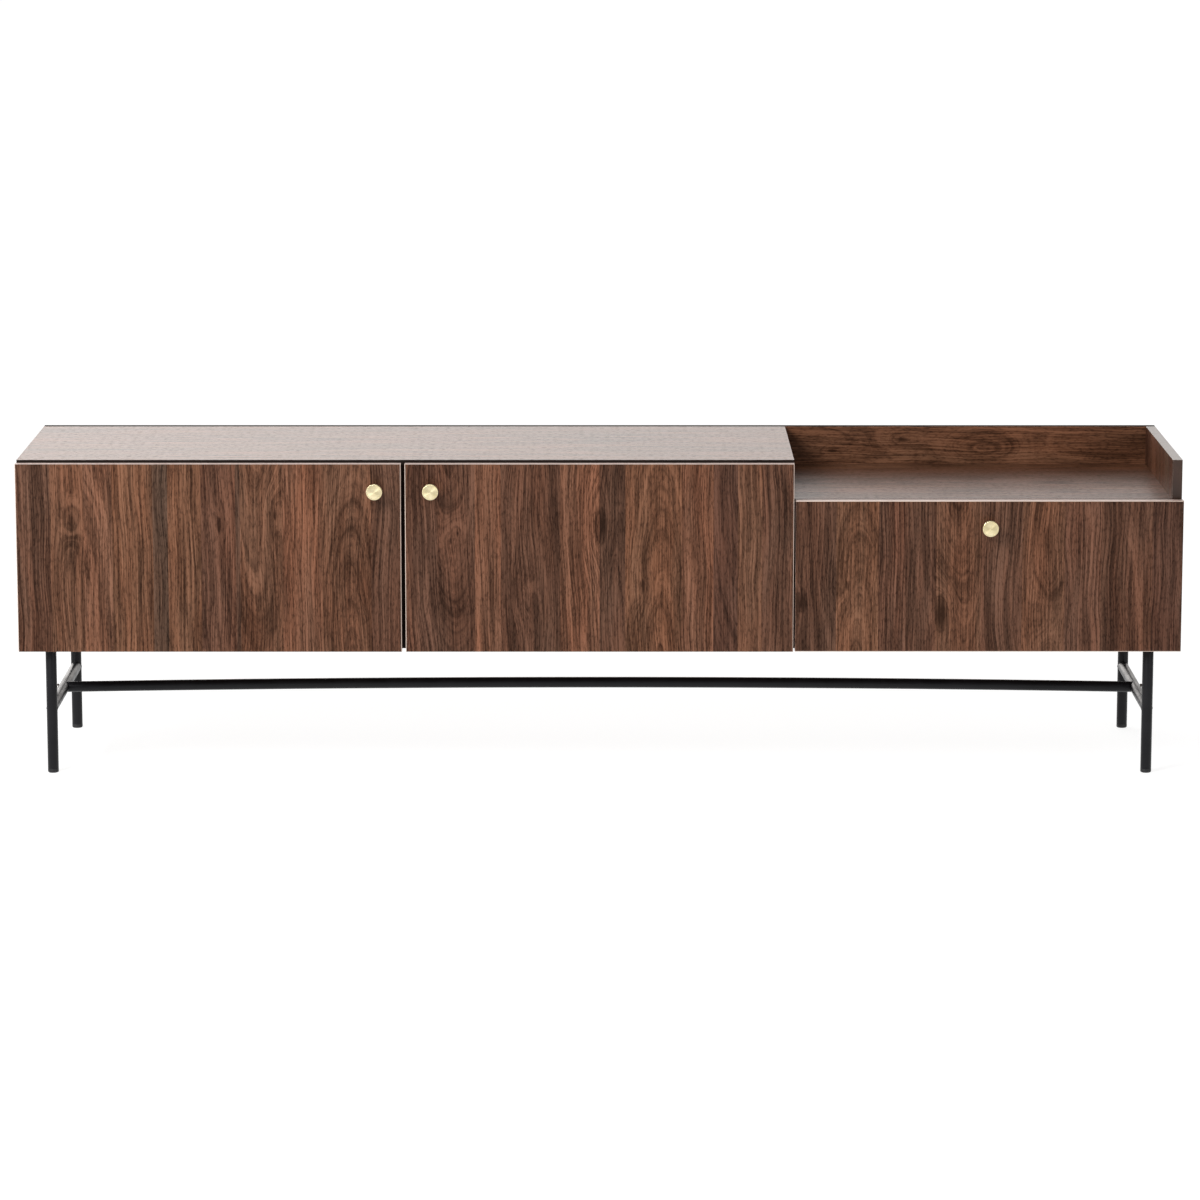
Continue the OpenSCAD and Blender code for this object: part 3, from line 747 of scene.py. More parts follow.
@dataclass(frozen=True)
class WalnutVeneer(Finish):
    """Walnut veneer laid in strips, under a silky clear lacquer.

    Args:
        name: the material's name.
        grain: how the veneer lies on the board.
        low: the board's lowest corner.
        high: the board's highest corner.
        strips: its strips, from the low side across the grain.
        seed: a number that tells one board's grain from another's.
        knots: its knots.
        stain: how much light the stain takes from each colour.
        wander: how far the grain wanders aside, slowly.
        drift: how far it drifts aside, quickly.
        streaks: how closely the streaks lie.
        ring_rate: how many year rings there are in a metre.
        ring_depth: how dark the year rings are.
        pore_depth: how dark the pores are.
        depth_range: the greatest depth that a sawing may have.
        arch_length: the length of board that an arch may rise through.
        shine: the specular level of the lacquer.
        gloss: the roughness of the lacquer over the darkest wood.
    """

    name: str
    grain: Grain
    low: Vector
    high: Vector
    strips: Sequence[Strip]
    seed: float
    knots: Sequence[Knot] = ()
    stain: Colour = (0.70, 0.635, 0.56)
    wander: float = 0.034
    drift: float = 0.006
    streaks: float = 150.0
    ring_rate: float = 165.0
    ring_depth: float = 0.40
    pore_depth: float = 0.30
    depth_range: float = 0.2
    arch_length: float = 0.36
    shine: float = 0.12
    gloss: float = 0.28

    def mix(self, desk: NodeDesk) -> None:
        """Lays the strips, then bends the grain and darkens it with streaks, rings, pores and knots.

        Args:
            desk: the material's nodes.
        """
        axes = desk.place()
        across, along, _ = (axes[i] for i in self.grain.order)
        tone, figure, start, rings = self._strips(desk, across)
        bent, knots = self._bend(desk, across, along)
        ring = self._ring_distance(desk, bent, along, figure)
        level = self._streaks(desk, bent, ring, along, start)
        lines = self._rings(desk, ring, along, rings)
        pores = self._pores(desk, across, along)
        level = desk.math("SUBTRACT", level, desk.math("MULTIPLY", lines, self.ring_depth))
        level = desk.math("SUBTRACT", level, knots)
        level = desk.math("SUBTRACT", level, desk.math("MULTIPLY", pores, self.pore_depth), clamp=True)
        gain, _ = desk.ramp(level, WALNUT_GAIN)
        drifts = desk.stretch((bent, 26.0), (along, 3.4), start)
        blush = desk.noise(drifts, detail=3.0, rough=0.55, distortion=0.4)
        warm = desk.mix(desk.spread(blush, 0.36, 0.66), WALNUT_COOL, WALNUT_WARM)
        colour = desk.mix(1.0, tone, gain, "MULTIPLY")
        colour = desk.mix(1.0, colour, warm, "MULTIPLY")
        sheen = desk.math("MULTIPLY_ADD", level, 0.08, self.gloss)
        desk.put(
            Base_Color=colour,
            Roughness=desk.math("MULTIPLY_ADD", pores, 0.12, sheen),
            Specular_IOR_Level=desk.math("MULTIPLY_ADD", level, 1.1 * self.shine, 0.5 * self.shine),
        )
        height = desk.math("SUBTRACT", desk.math("MULTIPLY", level, 0.35), desk.math("MULTIPLY", pores, 0.65))
        desk.bump(height, 0.05 * MM, 0.6)

    def _extent(self) -> tuple[float, float, float]:
        """Low edge and width across the grain, and the middle along it."""
        across, along, _ = self.grain.order
        return (
            self.low[across],
            self.high[across] - self.low[across],
            (self.low[along] + self.high[along]) / 2,
        )

    def _strips(self, desk: NodeDesk, across: Socket) -> tuple[Socket, Socket, Socket, Socket]:
        """Looks up the strip that a point lies in.

        Args:
            desk: the material's nodes.
            across: the place across the grain.

        Returns:
            The strip's colour, its sawing, its own number and the strength of its rings.
        """
        low, width, _ = self._extent()
        total = sum(strip.width for strip in self.strips)
        share = desk.spread(across, low, low + width)
        colours, figures = [], []
        reached = 0.0
        for number, strip in enumerate(self.strips):
            begin, size = reached / total, strip.width / total
            sawing = strip.figure.value
            pith = min(1.0, max(0.0, begin + size / 2 + sawing.pith * size))
            tone = [stain * c for stain, c in zip(self.stain, strip.tone.value)]
            colours.append((begin, (*tone, (0.37 * number + 0.13 * self.seed) % 1.0)))
            depth, slope = sawing.depth / self.depth_range, 0.5 + sawing.slope / 2
            figures.append((begin, (pith, depth, slope, sawing.rings)))
            reached += strip.width
        tone, number = desk.ramp(share, colours, steps=True)
        figure, rings = desk.ramp(share, figures, steps=True)
        return tone, figure, desk.math("MULTIPLY", number, 40.0), rings

    def _bend(self, desk: NodeDesk, across: Socket, along: Socket) -> tuple[Socket, Socket]:
        """Bends the grain as the growing tree did.

        Args:
            desk: the material's nodes.
            across: the place across the grain.
            along: the place along it.

        Returns:
            The bent place across the grain, and how dark the knots are there.
        """
        slow = desk.stretch((across, 7.0), (along, 3.6), self.seed)
        quick = desk.stretch((across, 34.0), (along, 9.0), self.seed + 5)
        wander = desk.math("MULTIPLY_ADD", desk.noise(slow, detail=1.5), self.wander, across)
        bent = desk.math("MULTIPLY_ADD", desk.noise(quick), self.drift, wander)
        bent = desk.math("SUBTRACT", bent, (self.wander + self.drift) / 2)
        dark = desk.math("MULTIPLY", across, 0.0)
        for knot in self.knots:
            side, far = self._from_knot(desk, knot, across, along)
            pull = desk.math("DIVIDE", side, desk.math("ADD", far, (KNOT_REACH * knot.swell * MM) ** 2))
            bent = desk.math("MULTIPLY_ADD", pull, -((KNOT_PULL * knot.swell * MM) ** 2), bent)
            if knot.radius:
                heart = desk.spread(far, 0.0, (HEART_REACH * knot.radius * MM) ** 2, HEART_DARK, 0.0)
                dark = desk.math("MAXIMUM", dark, heart)
        return bent, dark

    def _from_knot(self, desk: NodeDesk, knot: Knot, across: Socket, along: Socket) -> tuple[Socket, Socket]:
        """Measures a point from a knot.

        Args:
            desk: the material's nodes.
            knot: the knot.
            across: the place across the grain.
            along: the place along it.

        Returns:
            How far the point lies beside the knot, and its squared distance, shortened along the grain.
        """
        across_axis, along_axis, _ = self.grain.order
        side = desk.math("SUBTRACT", across, self.low[across_axis] + knot.across * MM)
        rise = desk.math("SUBTRACT", along, self.low[along_axis] + knot.along * MM)
        rise = desk.math("MULTIPLY", desk.math("POWER", rise, 2.0), KNOT_ALONG)
        return side, desk.math("ADD", desk.math("POWER", side, 2.0), rise)

    def _ring_distance(self, desk: NodeDesk, bent: Socket, along: Socket, figure: Socket) -> Socket:
        """Measures a point from the middle of the log that its strip was sawn from.

        Args:
            desk: the material's nodes.
            bent: the bent place across the grain.
            along: the place along it.
            figure: the strip's sawing, as the ramp holds it.

        Returns:
            The distance, swollen round knots.
        """
        low, width, middle = self._extent()
        length = 2 * (middle - self.low[self.grain.order[1]])
        pith, depth, slope = desk.split(figure)
        aside = desk.math("SUBTRACT", bent, desk.math("MULTIPLY_ADD", pith, width, low))
        lean = min(1.0, self.arch_length / length)
        fall = desk.math("MULTIPLY_ADD", slope, 2.0 * lean, -lean)
        rise = desk.math("MULTIPLY", fall, desk.math("SUBTRACT", along, middle))
        deep = desk.math("MULTIPLY_ADD", depth, self.depth_range, rise)
        square = desk.math("ADD", desk.math("POWER", aside, 2.0), desk.math("POWER", deep, 2.0))
        ring = desk.math("SQRT", square)
        for knot in self.knots:
            size = knot.swell * MM
            _, far = self._from_knot(desk, knot, bent, along)
            swell = desk.math("DIVIDE", KNOT_RINGS * size**3, desk.math("ADD", far, size**2))
            ring = desk.math("ADD", ring, swell)
        return ring

    def _streaks(self, desk: NodeDesk, bent: Socket, ring: Socket, along: Socket, start: Socket) -> Socket:
        """Draws light and dark streaks that follow the rings, from broad bands to single fibres.

        Args:
            desk: the material's nodes.
            bent: the bent place across the grain.
            ring: the distance from the log's middle.
            along: the place along the grain.
            start: the strip's own number.

        Returns:
            How light the wood is, about from 0 to 1.
        """
        main = desk.noise(desk.stretch((ring, self.streaks), (along, 2.6), start), detail=5.0, rough=0.68)
        broad = desk.stretch((ring, 42.0), (along, 3.0), desk.math("ADD", start, 9.0))
        bands = desk.noise(broad, detail=3.0, rough=0.6, distortion=0.7)
        fibres = desk.noise(desk.stretch((bent, 520.0), (along, 8.0), start), detail=4.0, rough=0.62)
        level = desk.spread(main, 0.37, 0.63, -0.22, 0.22)
        level = desk.math("ADD", level, desk.math("MULTIPLY_ADD", bands, 0.9, -0.45))
        level = desk.math("ADD", level, desk.spread(fibres, 0.39, 0.61, -0.26, 0.26))
        return desk.math("ADD", level, 0.605)

    def _rings(self, desk: NodeDesk, ring: Socket, along: Socket, rings: Socket) -> Socket:
        """Draws the thin dark lines of late wood.

        Args:
            desk: the material's nodes.
            ring: the distance from the log's middle.
            along: the place along the grain.
            rings: how strongly this strip shows them.

        Returns:
            How dark the lines are, from 0 to 1.
        """
        stir = desk.noise(desk.stretch((ring, 60.0), (along, 4.0), self.seed))
        turn = desk.math("MULTIPLY_ADD", ring, self.ring_rate, desk.math("MULTIPLY", stir, 3.0))
        line, _ = desk.ramp(desk.math("FRACT", turn), [(place, (dark,) * 3) for place, dark in RING_PROFILE])
        fade = desk.spread(desk.noise(desk.stretch((ring, 25.0), along, 3.0)), 0.35, 0.65)
        return desk.math("MULTIPLY", desk.math("MULTIPLY", line, rings), fade)

    def _pores(self, desk: NodeDesk, across: Socket, along: Socket) -> Socket:
        """Scatters short dark pores along the grain, fine ones and coarse ones.

        Args:
            desk: the material's nodes.
            across: the place across the grain.
            along: the place along it.

        Returns:
            How dark the pores are, from 0 to 1.
        """
        fine = desk.noise(desk.stretch((across, 1500.0), (along, 55.0), self.seed), detail=1.0)
        coarse = desk.noise(desk.stretch((across, 440.0), (along, 120.0), self.seed), rough=0.6)
        fine = desk.spread(fine, 0.58, 0.74, 0.0, 0.6)
        return desk.math("ADD", fine, desk.spread(coarse, 0.50, 0.66), clamp=True)


@dataclass(frozen=True)
class EdgeBand(Finish):
    """Edge band ironed onto a board: its grain runs along the edge.

    Args:
        name: the material's name.
        light: the colour of its light streaks.
        dark: the colour of its dark streaks.
        gloss: its roughness.
        shine: its specular level.
    """

    name: str
    light: Colour
    dark: Colour
    gloss: float = 0.3
    shine: float = 0.3

    def mix(self, desk: NodeDesk) -> None:
        """Lays long streaks along the edge.

        Args:
            desk: the material's nodes.
        """
        x, y, z = desk.place()
        along = desk.math("ADD", x, z)
        streak = desk.noise(desk.stretch((y, 420.0), (along, 7.0), 0.0), detail=4.0, rough=0.6)
        colour = desk.mix(desk.spread(streak, 0.3, 0.7), self.dark, self.light)
        desk.put(
            Base_Color=colour,
            Roughness=desk.math("MULTIPLY_ADD", streak, 0.12, self.gloss),
            Specular_IOR_Level=self.shine,
        )
        desk.bump(streak, 0.04 * MM, 0.5)


@dataclass(frozen=True)
class Chipboard(Finish):
    """The pressed chips of a board's core, seen in its holes."""

    name: str = "chipboard_core"

    def mix(self, desk: NodeDesk) -> None:
        """Presses light and dark chips.

        Args:
            desk: the material's nodes.
        """
        point = desk.bundle(*desk.place())
        chips = desk.noise(point, scale=650.0, detail=3.0, rough=0.7, distortion=1.2)
        stops = ((0.3, (0.16, 0.09, 0.045)), (0.5, (0.36, 0.24, 0.13)), (0.72, (0.55, 0.41, 0.25)))
        colour, _ = desk.ramp(chips, stops)
        desk.put(Base_Color=colour, Roughness=0.85, Specular_IOR_Level=0.2)
        desk.bump(chips, 0.3 * MM)


@dataclass(frozen=True)
class PowderCoat(Finish):
    """Black powder coat on steel: a low gloss over a faint orange peel."""

    name: str = "black_powder_coat"

    def mix(self, desk: NodeDesk) -> None:
        """Lays orange peel over a faint cloud.

        Args:
            desk: the material's nodes.
        """
        point = desk.bundle(*desk.place())
        peel = desk.noise(point, scale=750.0)
        cloud = desk.noise(point, scale=22.0, detail=3.0, rough=0.6)
        colour = desk.mix(desk.spread(cloud, 0.3, 0.7), (0.0065, 0.0065, 0.0078), (0.011, 0.011, 0.0128))
        desk.put(
            Base_Color=colour,
            Roughness=desk.spread(cloud, 0.25, 0.75, 0.30, 0.42),
            Specular_IOR_Level=0.17,
        )
        desk.bump(peel, 0.02 * MM, 0.4)


@dataclass(frozen=True)
class BrushedBrass(Finish):
    """Pale brass, turned on a lathe: fine circles round the knob's middle.

    Args:
        name: the material's name.
        centre: the middle of the knob's face.
    """

    name: str
    centre: Vector

    def mix(self, desk: NodeDesk) -> None:
        """Turns fine circles round the knob's middle, and draws the gloss out across them.

        Args:
            desk: the material's nodes.
        """
        x, y, z = desk.place()
        aside = desk.math("SUBTRACT", x, self.centre.x)
        above = desk.math("SUBTRACT", z, self.centre.z)
        square = desk.math("ADD", desk.math("POWER", aside, 2.0), desk.math("POWER", above, 2.0))
        radius = desk.math("SQRT", square)
        circles = desk.noise(desk.stretch((radius, 3800.0), (y, 900.0), 0.0), detail=3.0, rough=0.7)
        haze = desk.noise(desk.bundle(x, y, z), scale=90.0, detail=3.0, rough=0.6)
        colour = desk.mix(desk.spread(haze, 0.3, 0.7), (0.74, 0.63, 0.36), (0.86, 0.76, 0.50))
        desk.put(
            Base_Color=colour,
            Metallic=1.0,
            Roughness=desk.spread(circles, 0.3, 0.7, 0.26, 0.42),
        )
        desk.brush(above, desk.math("MULTIPLY", aside, -1.0), 0.8)
        desk.bump(circles, 0.03 * MM, 0.7)


@dataclass(frozen=True)
class NickelSteel(Finish):
    """Nickel-plated steel of the fittings, with fine rolling marks."""

    name: str = "nickel_steel"

    def mix(self, desk: NodeDesk) -> None:
        """Rolls fine marks over a faint cloud.

        Args:
            desk: the material's nodes.
        """
        x, y, z = desk.place()
        marks = desk.noise(desk.stretch((x, 300.0), (y, 300.0), (z, 2600.0)), detail=3.0, rough=0.6)
        cloud = desk.noise(desk.bundle(x, y, z), scale=60.0, detail=3.0, rough=0.6)
        colour = desk.mix(desk.spread(cloud, 0.3, 0.7), (0.50, 0.49, 0.47), (0.70, 0.69, 0.67))
        desk.put(Base_Color=colour, Metallic=1.0, Roughness=desk.spread(marks, 0.25, 0.75, 0.2, 0.4))
        desk.bump(marks, 0.02 * MM, 0.6)


@dataclass(frozen=True)
class MouldedPlastic(Finish):
    """Black moulded plastic with a spark-eroded texture."""

    name: str = "black_plastic"

    def mix(self, desk: NodeDesk) -> None:
        """Erodes fine pits, and leaves a little dust.

        Args:
            desk: the material's nodes.
        """
        point = desk.bundle(*desk.place())
        pits = desk.noise(point, scale=1800.0, rough=0.6)
        dust = desk.noise(point, scale=70.0, detail=4.0, rough=0.6)
        colour = desk.mix(desk.spread(dust, 0.4, 0.8), (0.010, 0.010, 0.011), (0.022, 0.022, 0.023))
        desk.put(Base_Color=colour, Roughness=desk.spread(pits, 0.3, 0.7, 0.42, 0.6), Specular_IOR_Level=0.4)
        desk.bump(pits, 0.05 * MM, 0.8)


@dataclass(frozen=True)
class BeechWood(Finish):
    """Beech of the dowels, with its small dark flecks."""

    name: str = "beech"

    def mix(self, desk: NodeDesk) -> None:
        """Grows fibres and small flecks.

        Args:
            desk: the material's nodes.
        """
        x, y, z = desk.place()
        fibre = desk.noise(desk.stretch((x, 300.0), (y, 300.0), (z, 60.0)), detail=4.0, rough=0.6)
        flecks = desk.spread(desk.noise(desk.bundle(x, y, z), scale=900.0), 0.6, 0.75)
        colour = desk.mix(fibre, (0.58, 0.38, 0.21), (0.72, 0.53, 0.33))
        colour = desk.mix(desk.math("MULTIPLY", flecks, 0.6), colour, (0.33, 0.18, 0.09))
        desk.put(Base_Color=colour, Roughness=0.6)
        desk.bump(fibre, 0.1 * MM, 0.6)


@dataclass(frozen=True)
class ClearRubber(Finish):
    """Clear soft bumpers, slightly milky."""

    name: str = "clear_bumper"

    def mix(self, desk: NodeDesk) -> None:
        """Stirs in a little milk.

        Args:
            desk: the material's nodes.
        """
        milk = desk.noise(desk.bundle(*desk.place()), scale=400.0, detail=3.0, rough=0.6)
        desk.put(
            Base_Color=desk.mix(milk, (0.72, 0.72, 0.70), (0.86, 0.86, 0.84)),
            Roughness=desk.spread(milk, 0.3, 0.7, 0.22, 0.38),
            IOR=1.41,
            Transmission_Weight=0.55,
        )


WALNUT_EDGE = EdgeBand("walnut_edge_band", (0.056, 0.026, 0.016), (0.018, 0.009, 0.006), 0.30, 0.36)
# Door and flap edge band: walnut lightened far past its own colour as painted sheen, so it looks pale at a
# grazing view.
PAINTED_SHEEN_EDGE = EdgeBand("painted_sheen_edge_band", (0.44, 0.32, 0.285), (0.30, 0.215, 0.185), 0.4, 0.5)
# Eased arrises: a pale trim line, lightened further as a painted highlight along every edge.
PALE_TRIM_AND_HIGHLIGHT = EdgeBand("pale_trim_and_highlight", (0.68, 0.55, 0.47), (0.50, 0.39, 0.33))
# Carcass edge band: near black and matte, partly its own dark band and partly painted shade of the gaps and
# set-back edges.
DARK_EDGE_AND_SHADE = EdgeBand("dark_band_and_painted_shade", (0.026, 0.018, 0.015), (0.012, 0.009, 0.008), 0.7, 0.03)


@dataclass
class PaintShop:
    """The finishes that several pieces share, each mixed once."""

    walnut_edge: Material = field(default_factory=WALNUT_EDGE.material)
    light_edge: Material = field(default_factory=PAINTED_SHEEN_EDGE.material)
    pale_trim_and_highlight: Material = field(default_factory=PALE_TRIM_AND_HIGHLIGHT.material)
    dark_edge: Material = field(default_factory=DARK_EDGE_AND_SHADE.material)
    core: Material = field(default_factory=Chipboard().material)
    black: Material = field(default_factory=PowderCoat().material)
    nickel: Material = field(default_factory=NickelSteel().material)
    plastic: Material = field(default_factory=MouldedPlastic().material)
    beech: Material = field(default_factory=BeechWood().material)
    clear: Material = field(default_factory=ClearRubber().material)


def dress(piece: Piece, *materials: Material) -> None:
    """Gives a piece these materials and no others."""
    piece.data.materials.clear()
    for material in materials:
        piece.data.materials.append(material)


def deliver(piece: Piece, body: str, slot: str, *nodes: str) -> None:
    """Lets a finished piece ride on its body, in place of the CAD nodes that it stands for.

    Args:
        piece: the finished piece.
        body: the CAD body that it moves with.
        slot: the record's material slot; not used.
        nodes: the CAD nodes that it replaces.
    """
    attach(piece, body)
    if nodes:
        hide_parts(*nodes)
    LOG.info("%s on %s, %d faces", piece.name, body, len(piece.data.polygons))


# ---------- boards and fronts ----------
class Edging(Enum):
    """Named ways of banding a board: the finish of its edges, and of its eased arrises. The dark band is
    partly its own colour and partly painted shade, the front band is lightened as painted sheen, and the pale
    arris is a trim line lightened as a painted highlight.
    """

    DARK = ("dark_edge", "dark_edge")
    WALNUT = ("walnut_edge", "pale_trim_and_highlight")
    LIGHT = ("light_edge", "pale_trim_and_highlight")


class Layer(Enum):
    """The layers of a board that can be seen, as its materials are numbered."""

    VENEER = 0
    BAND = 1
    CORE = 2
    ARRIS = 3


@dataclass
class Board:
    """A veneered board with banded edges and drilled holes.

    Args:
        node: the CAD node that it is planed from.
        grain: how its veneer lies.
        strips: its strips of veneer.
        seed: its grain's own number.
        body: the CAD body that it rides on.
        edging: how its edges are banded.
        easing: how far its edges are eased.
        shine: the specular level of its lacquer.
        knots: its knots.
        rim: how far from the board's outline a face still belongs to its edge.
    """

    node: str
    grain: Grain
    strips: Sequence[Strip]
    seed: float
    body: str = "carcass"
    edging: Edging = Edging.DARK
    easing: float = 0.5 * MM
    shine: float = 0.12
    knots: Sequence[Knot] = ()
    rim: float = 1.7 * MM

    def build(self) -> Piece:
        """Planes the board and eases its edges.

        Returns:
            The board's mesh object.
        """
        piece = merged_copy(self.node, f"{self.node}_board")
        ease(piece, self.easing)
        smooth(piece)
        return piece

    def dress(self, piece: Piece, shop: PaintShop) -> None:
        """Veneers the two broad sides, bands the edges and bares the core in the holes.

        Args:
            piece: the board.
            shop: the shared finishes.
        """
        low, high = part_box(self.node)
        veneer = WalnutVeneer(
            f"{self.node}_walnut", self.grain, low, high, self.strips, self.seed, self.knots, shine=self.shine
        )
        # The band and arris finishes carry painted light: the carcass band is partly painted shade, the front
        # band painted sheen, and the pale arris a painted highlight.
        band, arris = (getattr(shop, finish) for finish in self.edging.value)
        dress(piece, veneer.material(), band, shop.core, arris)
        into = self.grain.order[2]
        for polygon in piece.data.polygons:
            middle = polygon.center
            inside = [min(middle[i] - low[i], high[i] - middle[i]) for i in range(3)]
            slanted = max(abs(c) for c in polygon.normal) < SQUARE
            broad = abs(polygon.normal[into]) > BROAD and inside[into] < SKIN
            edge = any(inside[i] < self.rim for i in range(3) if i != into)
            if broad and not slanted:
                layer = Layer.VENEER
            elif not edge:
                layer = Layer.CORE
            else:
                layer = Layer.ARRIS if slanted else Layer.BAND
            polygon.material_index = layer.value

    def make(self, shop: PaintShop) -> None:
        """Builds, dresses and delivers the board."""
        piece = self.build()
        self.dress(piece, shop)
        deliver(piece, self.body, "walnut", self.node)


@dataclass
class Knob:
    """A turned brass knob: foot, neck and a flat disc with a rounded rim.

    Args:
        side: the front that it is on.
        body: the CAD body that it rides on.
        disc: the thickness of its disc.
        neck: the radius of its neck.
        foot: the radius of its foot.
        foot_length: the length of its foot.
        rim: the rounding of its disc's rim.
        cove: the width of the cove between disc and neck.
        step: the height of that cove, and of the flare between neck and foot.
        land: the width of the flat ring inside the rim.
        lip: the width of the slope inside that ring.
        dish: how deep the face lies inside the ring.
        ring: the width of each ring that the face is domed with.
        dome: how much less each ring rises than the one outside it.
    """

    side: str
    body: str
    disc: float = 7 * MM
    neck: float = 5 * MM
    foot: float = 7 * MM
    foot_length: float = 2 * MM
    rim: float = 1.1 * MM
    cove: float = 0.6 * MM
    step: float = 0.5 * MM
    land: float = 0.5 * MM
    lip: float = 0.25 * MM
    dish: float = 0.3 * MM
    ring: float = 1.2 * MM
    dome: float = 0.008 * MM

    def build(self) -> Piece:
        """Turns the knob from a bar.

        Returns:
            The knob.
        """
        low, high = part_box(f"knob_{self.side}")
        centre = (low + high) / 2
        radius = (high.x - low.x) / 2
        tip, face = low.y, high.y
        middle = (centre.x, tip + self.disc / 2, centre.z)
        piece = turned_bar(f"knob_{self.side}_turned", radius, self.disc, middle)
        back = tip + self.disc
        with Bench(piece) as bench:
            bench.edges(lambda e: len(e.link_faces) == 2 and e.calc_face_angle() > 1.0)
            bench.bevel(self.rim, 5)
            bench.faces(lambda f: f.normal.y > 0.99)
            bench.inset(radius - self.rim - self.neck - self.cove)
            bench.inset(self.cove, self.step)
            bench.extrude((0.0, face - self.foot_length - back - 2 * self.step, 0.0))
            bench.extrude((0.0, self.step, 0.0))
            bench.resize([self.foot / self.neck] * 3, (centre.x, face - self.foot_length, centre.z))
            bench.extrude((0.0, self.foot_length, 0.0))
            bench.faces(lambda f: f.normal.y < -0.99 and f.calc_center_median().y < tip + 0.01 * MM)
            bench.inset(self.land)
            bench.inset(self.lip, -self.dish)
            for left in range(8, 0, -1):
                bench.inset(self.ring, left * self.dome)
        smooth(piece, 30)
        return piece

    def make(self) -> None:
        """Builds, dresses and delivers the knob."""
        piece = self.build()
        low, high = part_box(f"knob_{self.side}")
        dress(piece, BrushedBrass(f"brass_{self.side}", (low + high) / 2).material())
        deliver(piece, self.body, "brushed_brass", f"knob_{self.side}")


# ---------- fittings and frame ----------
class Drive(Enum):
    """What a screw's head is turned by."""

    NONE = 0
    CROSS = 1


@dataclass
class Fitting:
    """A small metal or plastic part whose edges are eased, with a drive cut into each screw head.

    Args:
        node: the CAD node that it is made from.
        body: the CAD body that it rides on.
        slot: the record's material slot.
        easing: how far its edges are eased, or 0 for none.
        drive: the drive of its screw heads.
        flat: whether a head lies across its part's short side, as on a cam.
        arm: how far the cross of a drive reaches from its middle.
        blade: the width of its slots.
        bite: the depth of its slots.
    """

    node: str
    body: str
    slot: str = "nickel_steel"
    easing: float = 0.25 * MM
    drive: Drive = Drive.NONE
    flat: bool = False
    arm: float = 2.0 * MM
    blade: float = 0.7 * MM
    bite: float = 1.1 * MM

    def heads(self, piece: Piece) -> list[tuple[Vector, int, float]]:
        """Finds the screw heads.

        Args:
            piece: the screws.

        Returns:
            For each screw the middle of its head, its axis and the side that the head looks to.
        """
        found = []
        for points in islands(piece.data):
            low = Vector([min(p[i] for p in points) for i in range(3)])
            high = Vector([max(p[i] for p in points) for i in range(3)])
            sizes = list(high - low)
            axis = sizes.index(min(sizes) if self.flat else max(sizes))
            middle = (low + high) / 2
            others = [i for i in range(3) if i != axis]

            def reach(end: float) -> float:
                """How far the part reaches sideways at one end."""
                there = [p for p in points if abs(p[axis] - end) < END]
                return max((math.hypot(*(p[i] - middle[i] for i in others)) for p in there), default=0.0)

            side = 1.0 if reach(high[axis]) >= reach(low[axis]) else -1.0
            middle[axis] = high[axis] if side > 0 else low[axis]
            found.append((middle, axis, side))
        return found

    def build(self) -> Piece:
        """Makes the part.

        Returns:
            The part.
        """
        piece = merged_copy(self.node, f"{self.node}_made")
        heads = self.heads(piece) if self.drive is Drive.CROSS else []
        if self.easing > 0:
            ease(piece, self.easing)
        for turn in range(2 if heads else 0):
            cut(piece, join("blades", [self._blade(middle, axis, turn) for middle, axis, _ in heads]))
        smooth(piece)
        return piece

    def _blade(self, middle: Vector, axis: int, turn: int) -> Piece:
        """Makes one of the two blades that cut a cross into a head.

        Args:
            middle: the middle of the head.
            axis: the screw's axis.
            turn: which of the two it is, 0 or 1.

        Returns:
            The blade.
        """
        others = [i for i in range(3) if i != axis]
        half = Vector((0.0, 0.0, 0.0))
        half[axis] = self.bite
        half[others[turn]] = self.arm
        half[others[1 - turn]] = self.blade / 2
        return block("blade", middle - half, middle + half)

    def make(self, material: Material) -> None:
        """Builds, dresses and delivers the part."""
        piece = self.build()
        dress(piece, material)
        deliver(piece, self.body, self.slot, self.node)


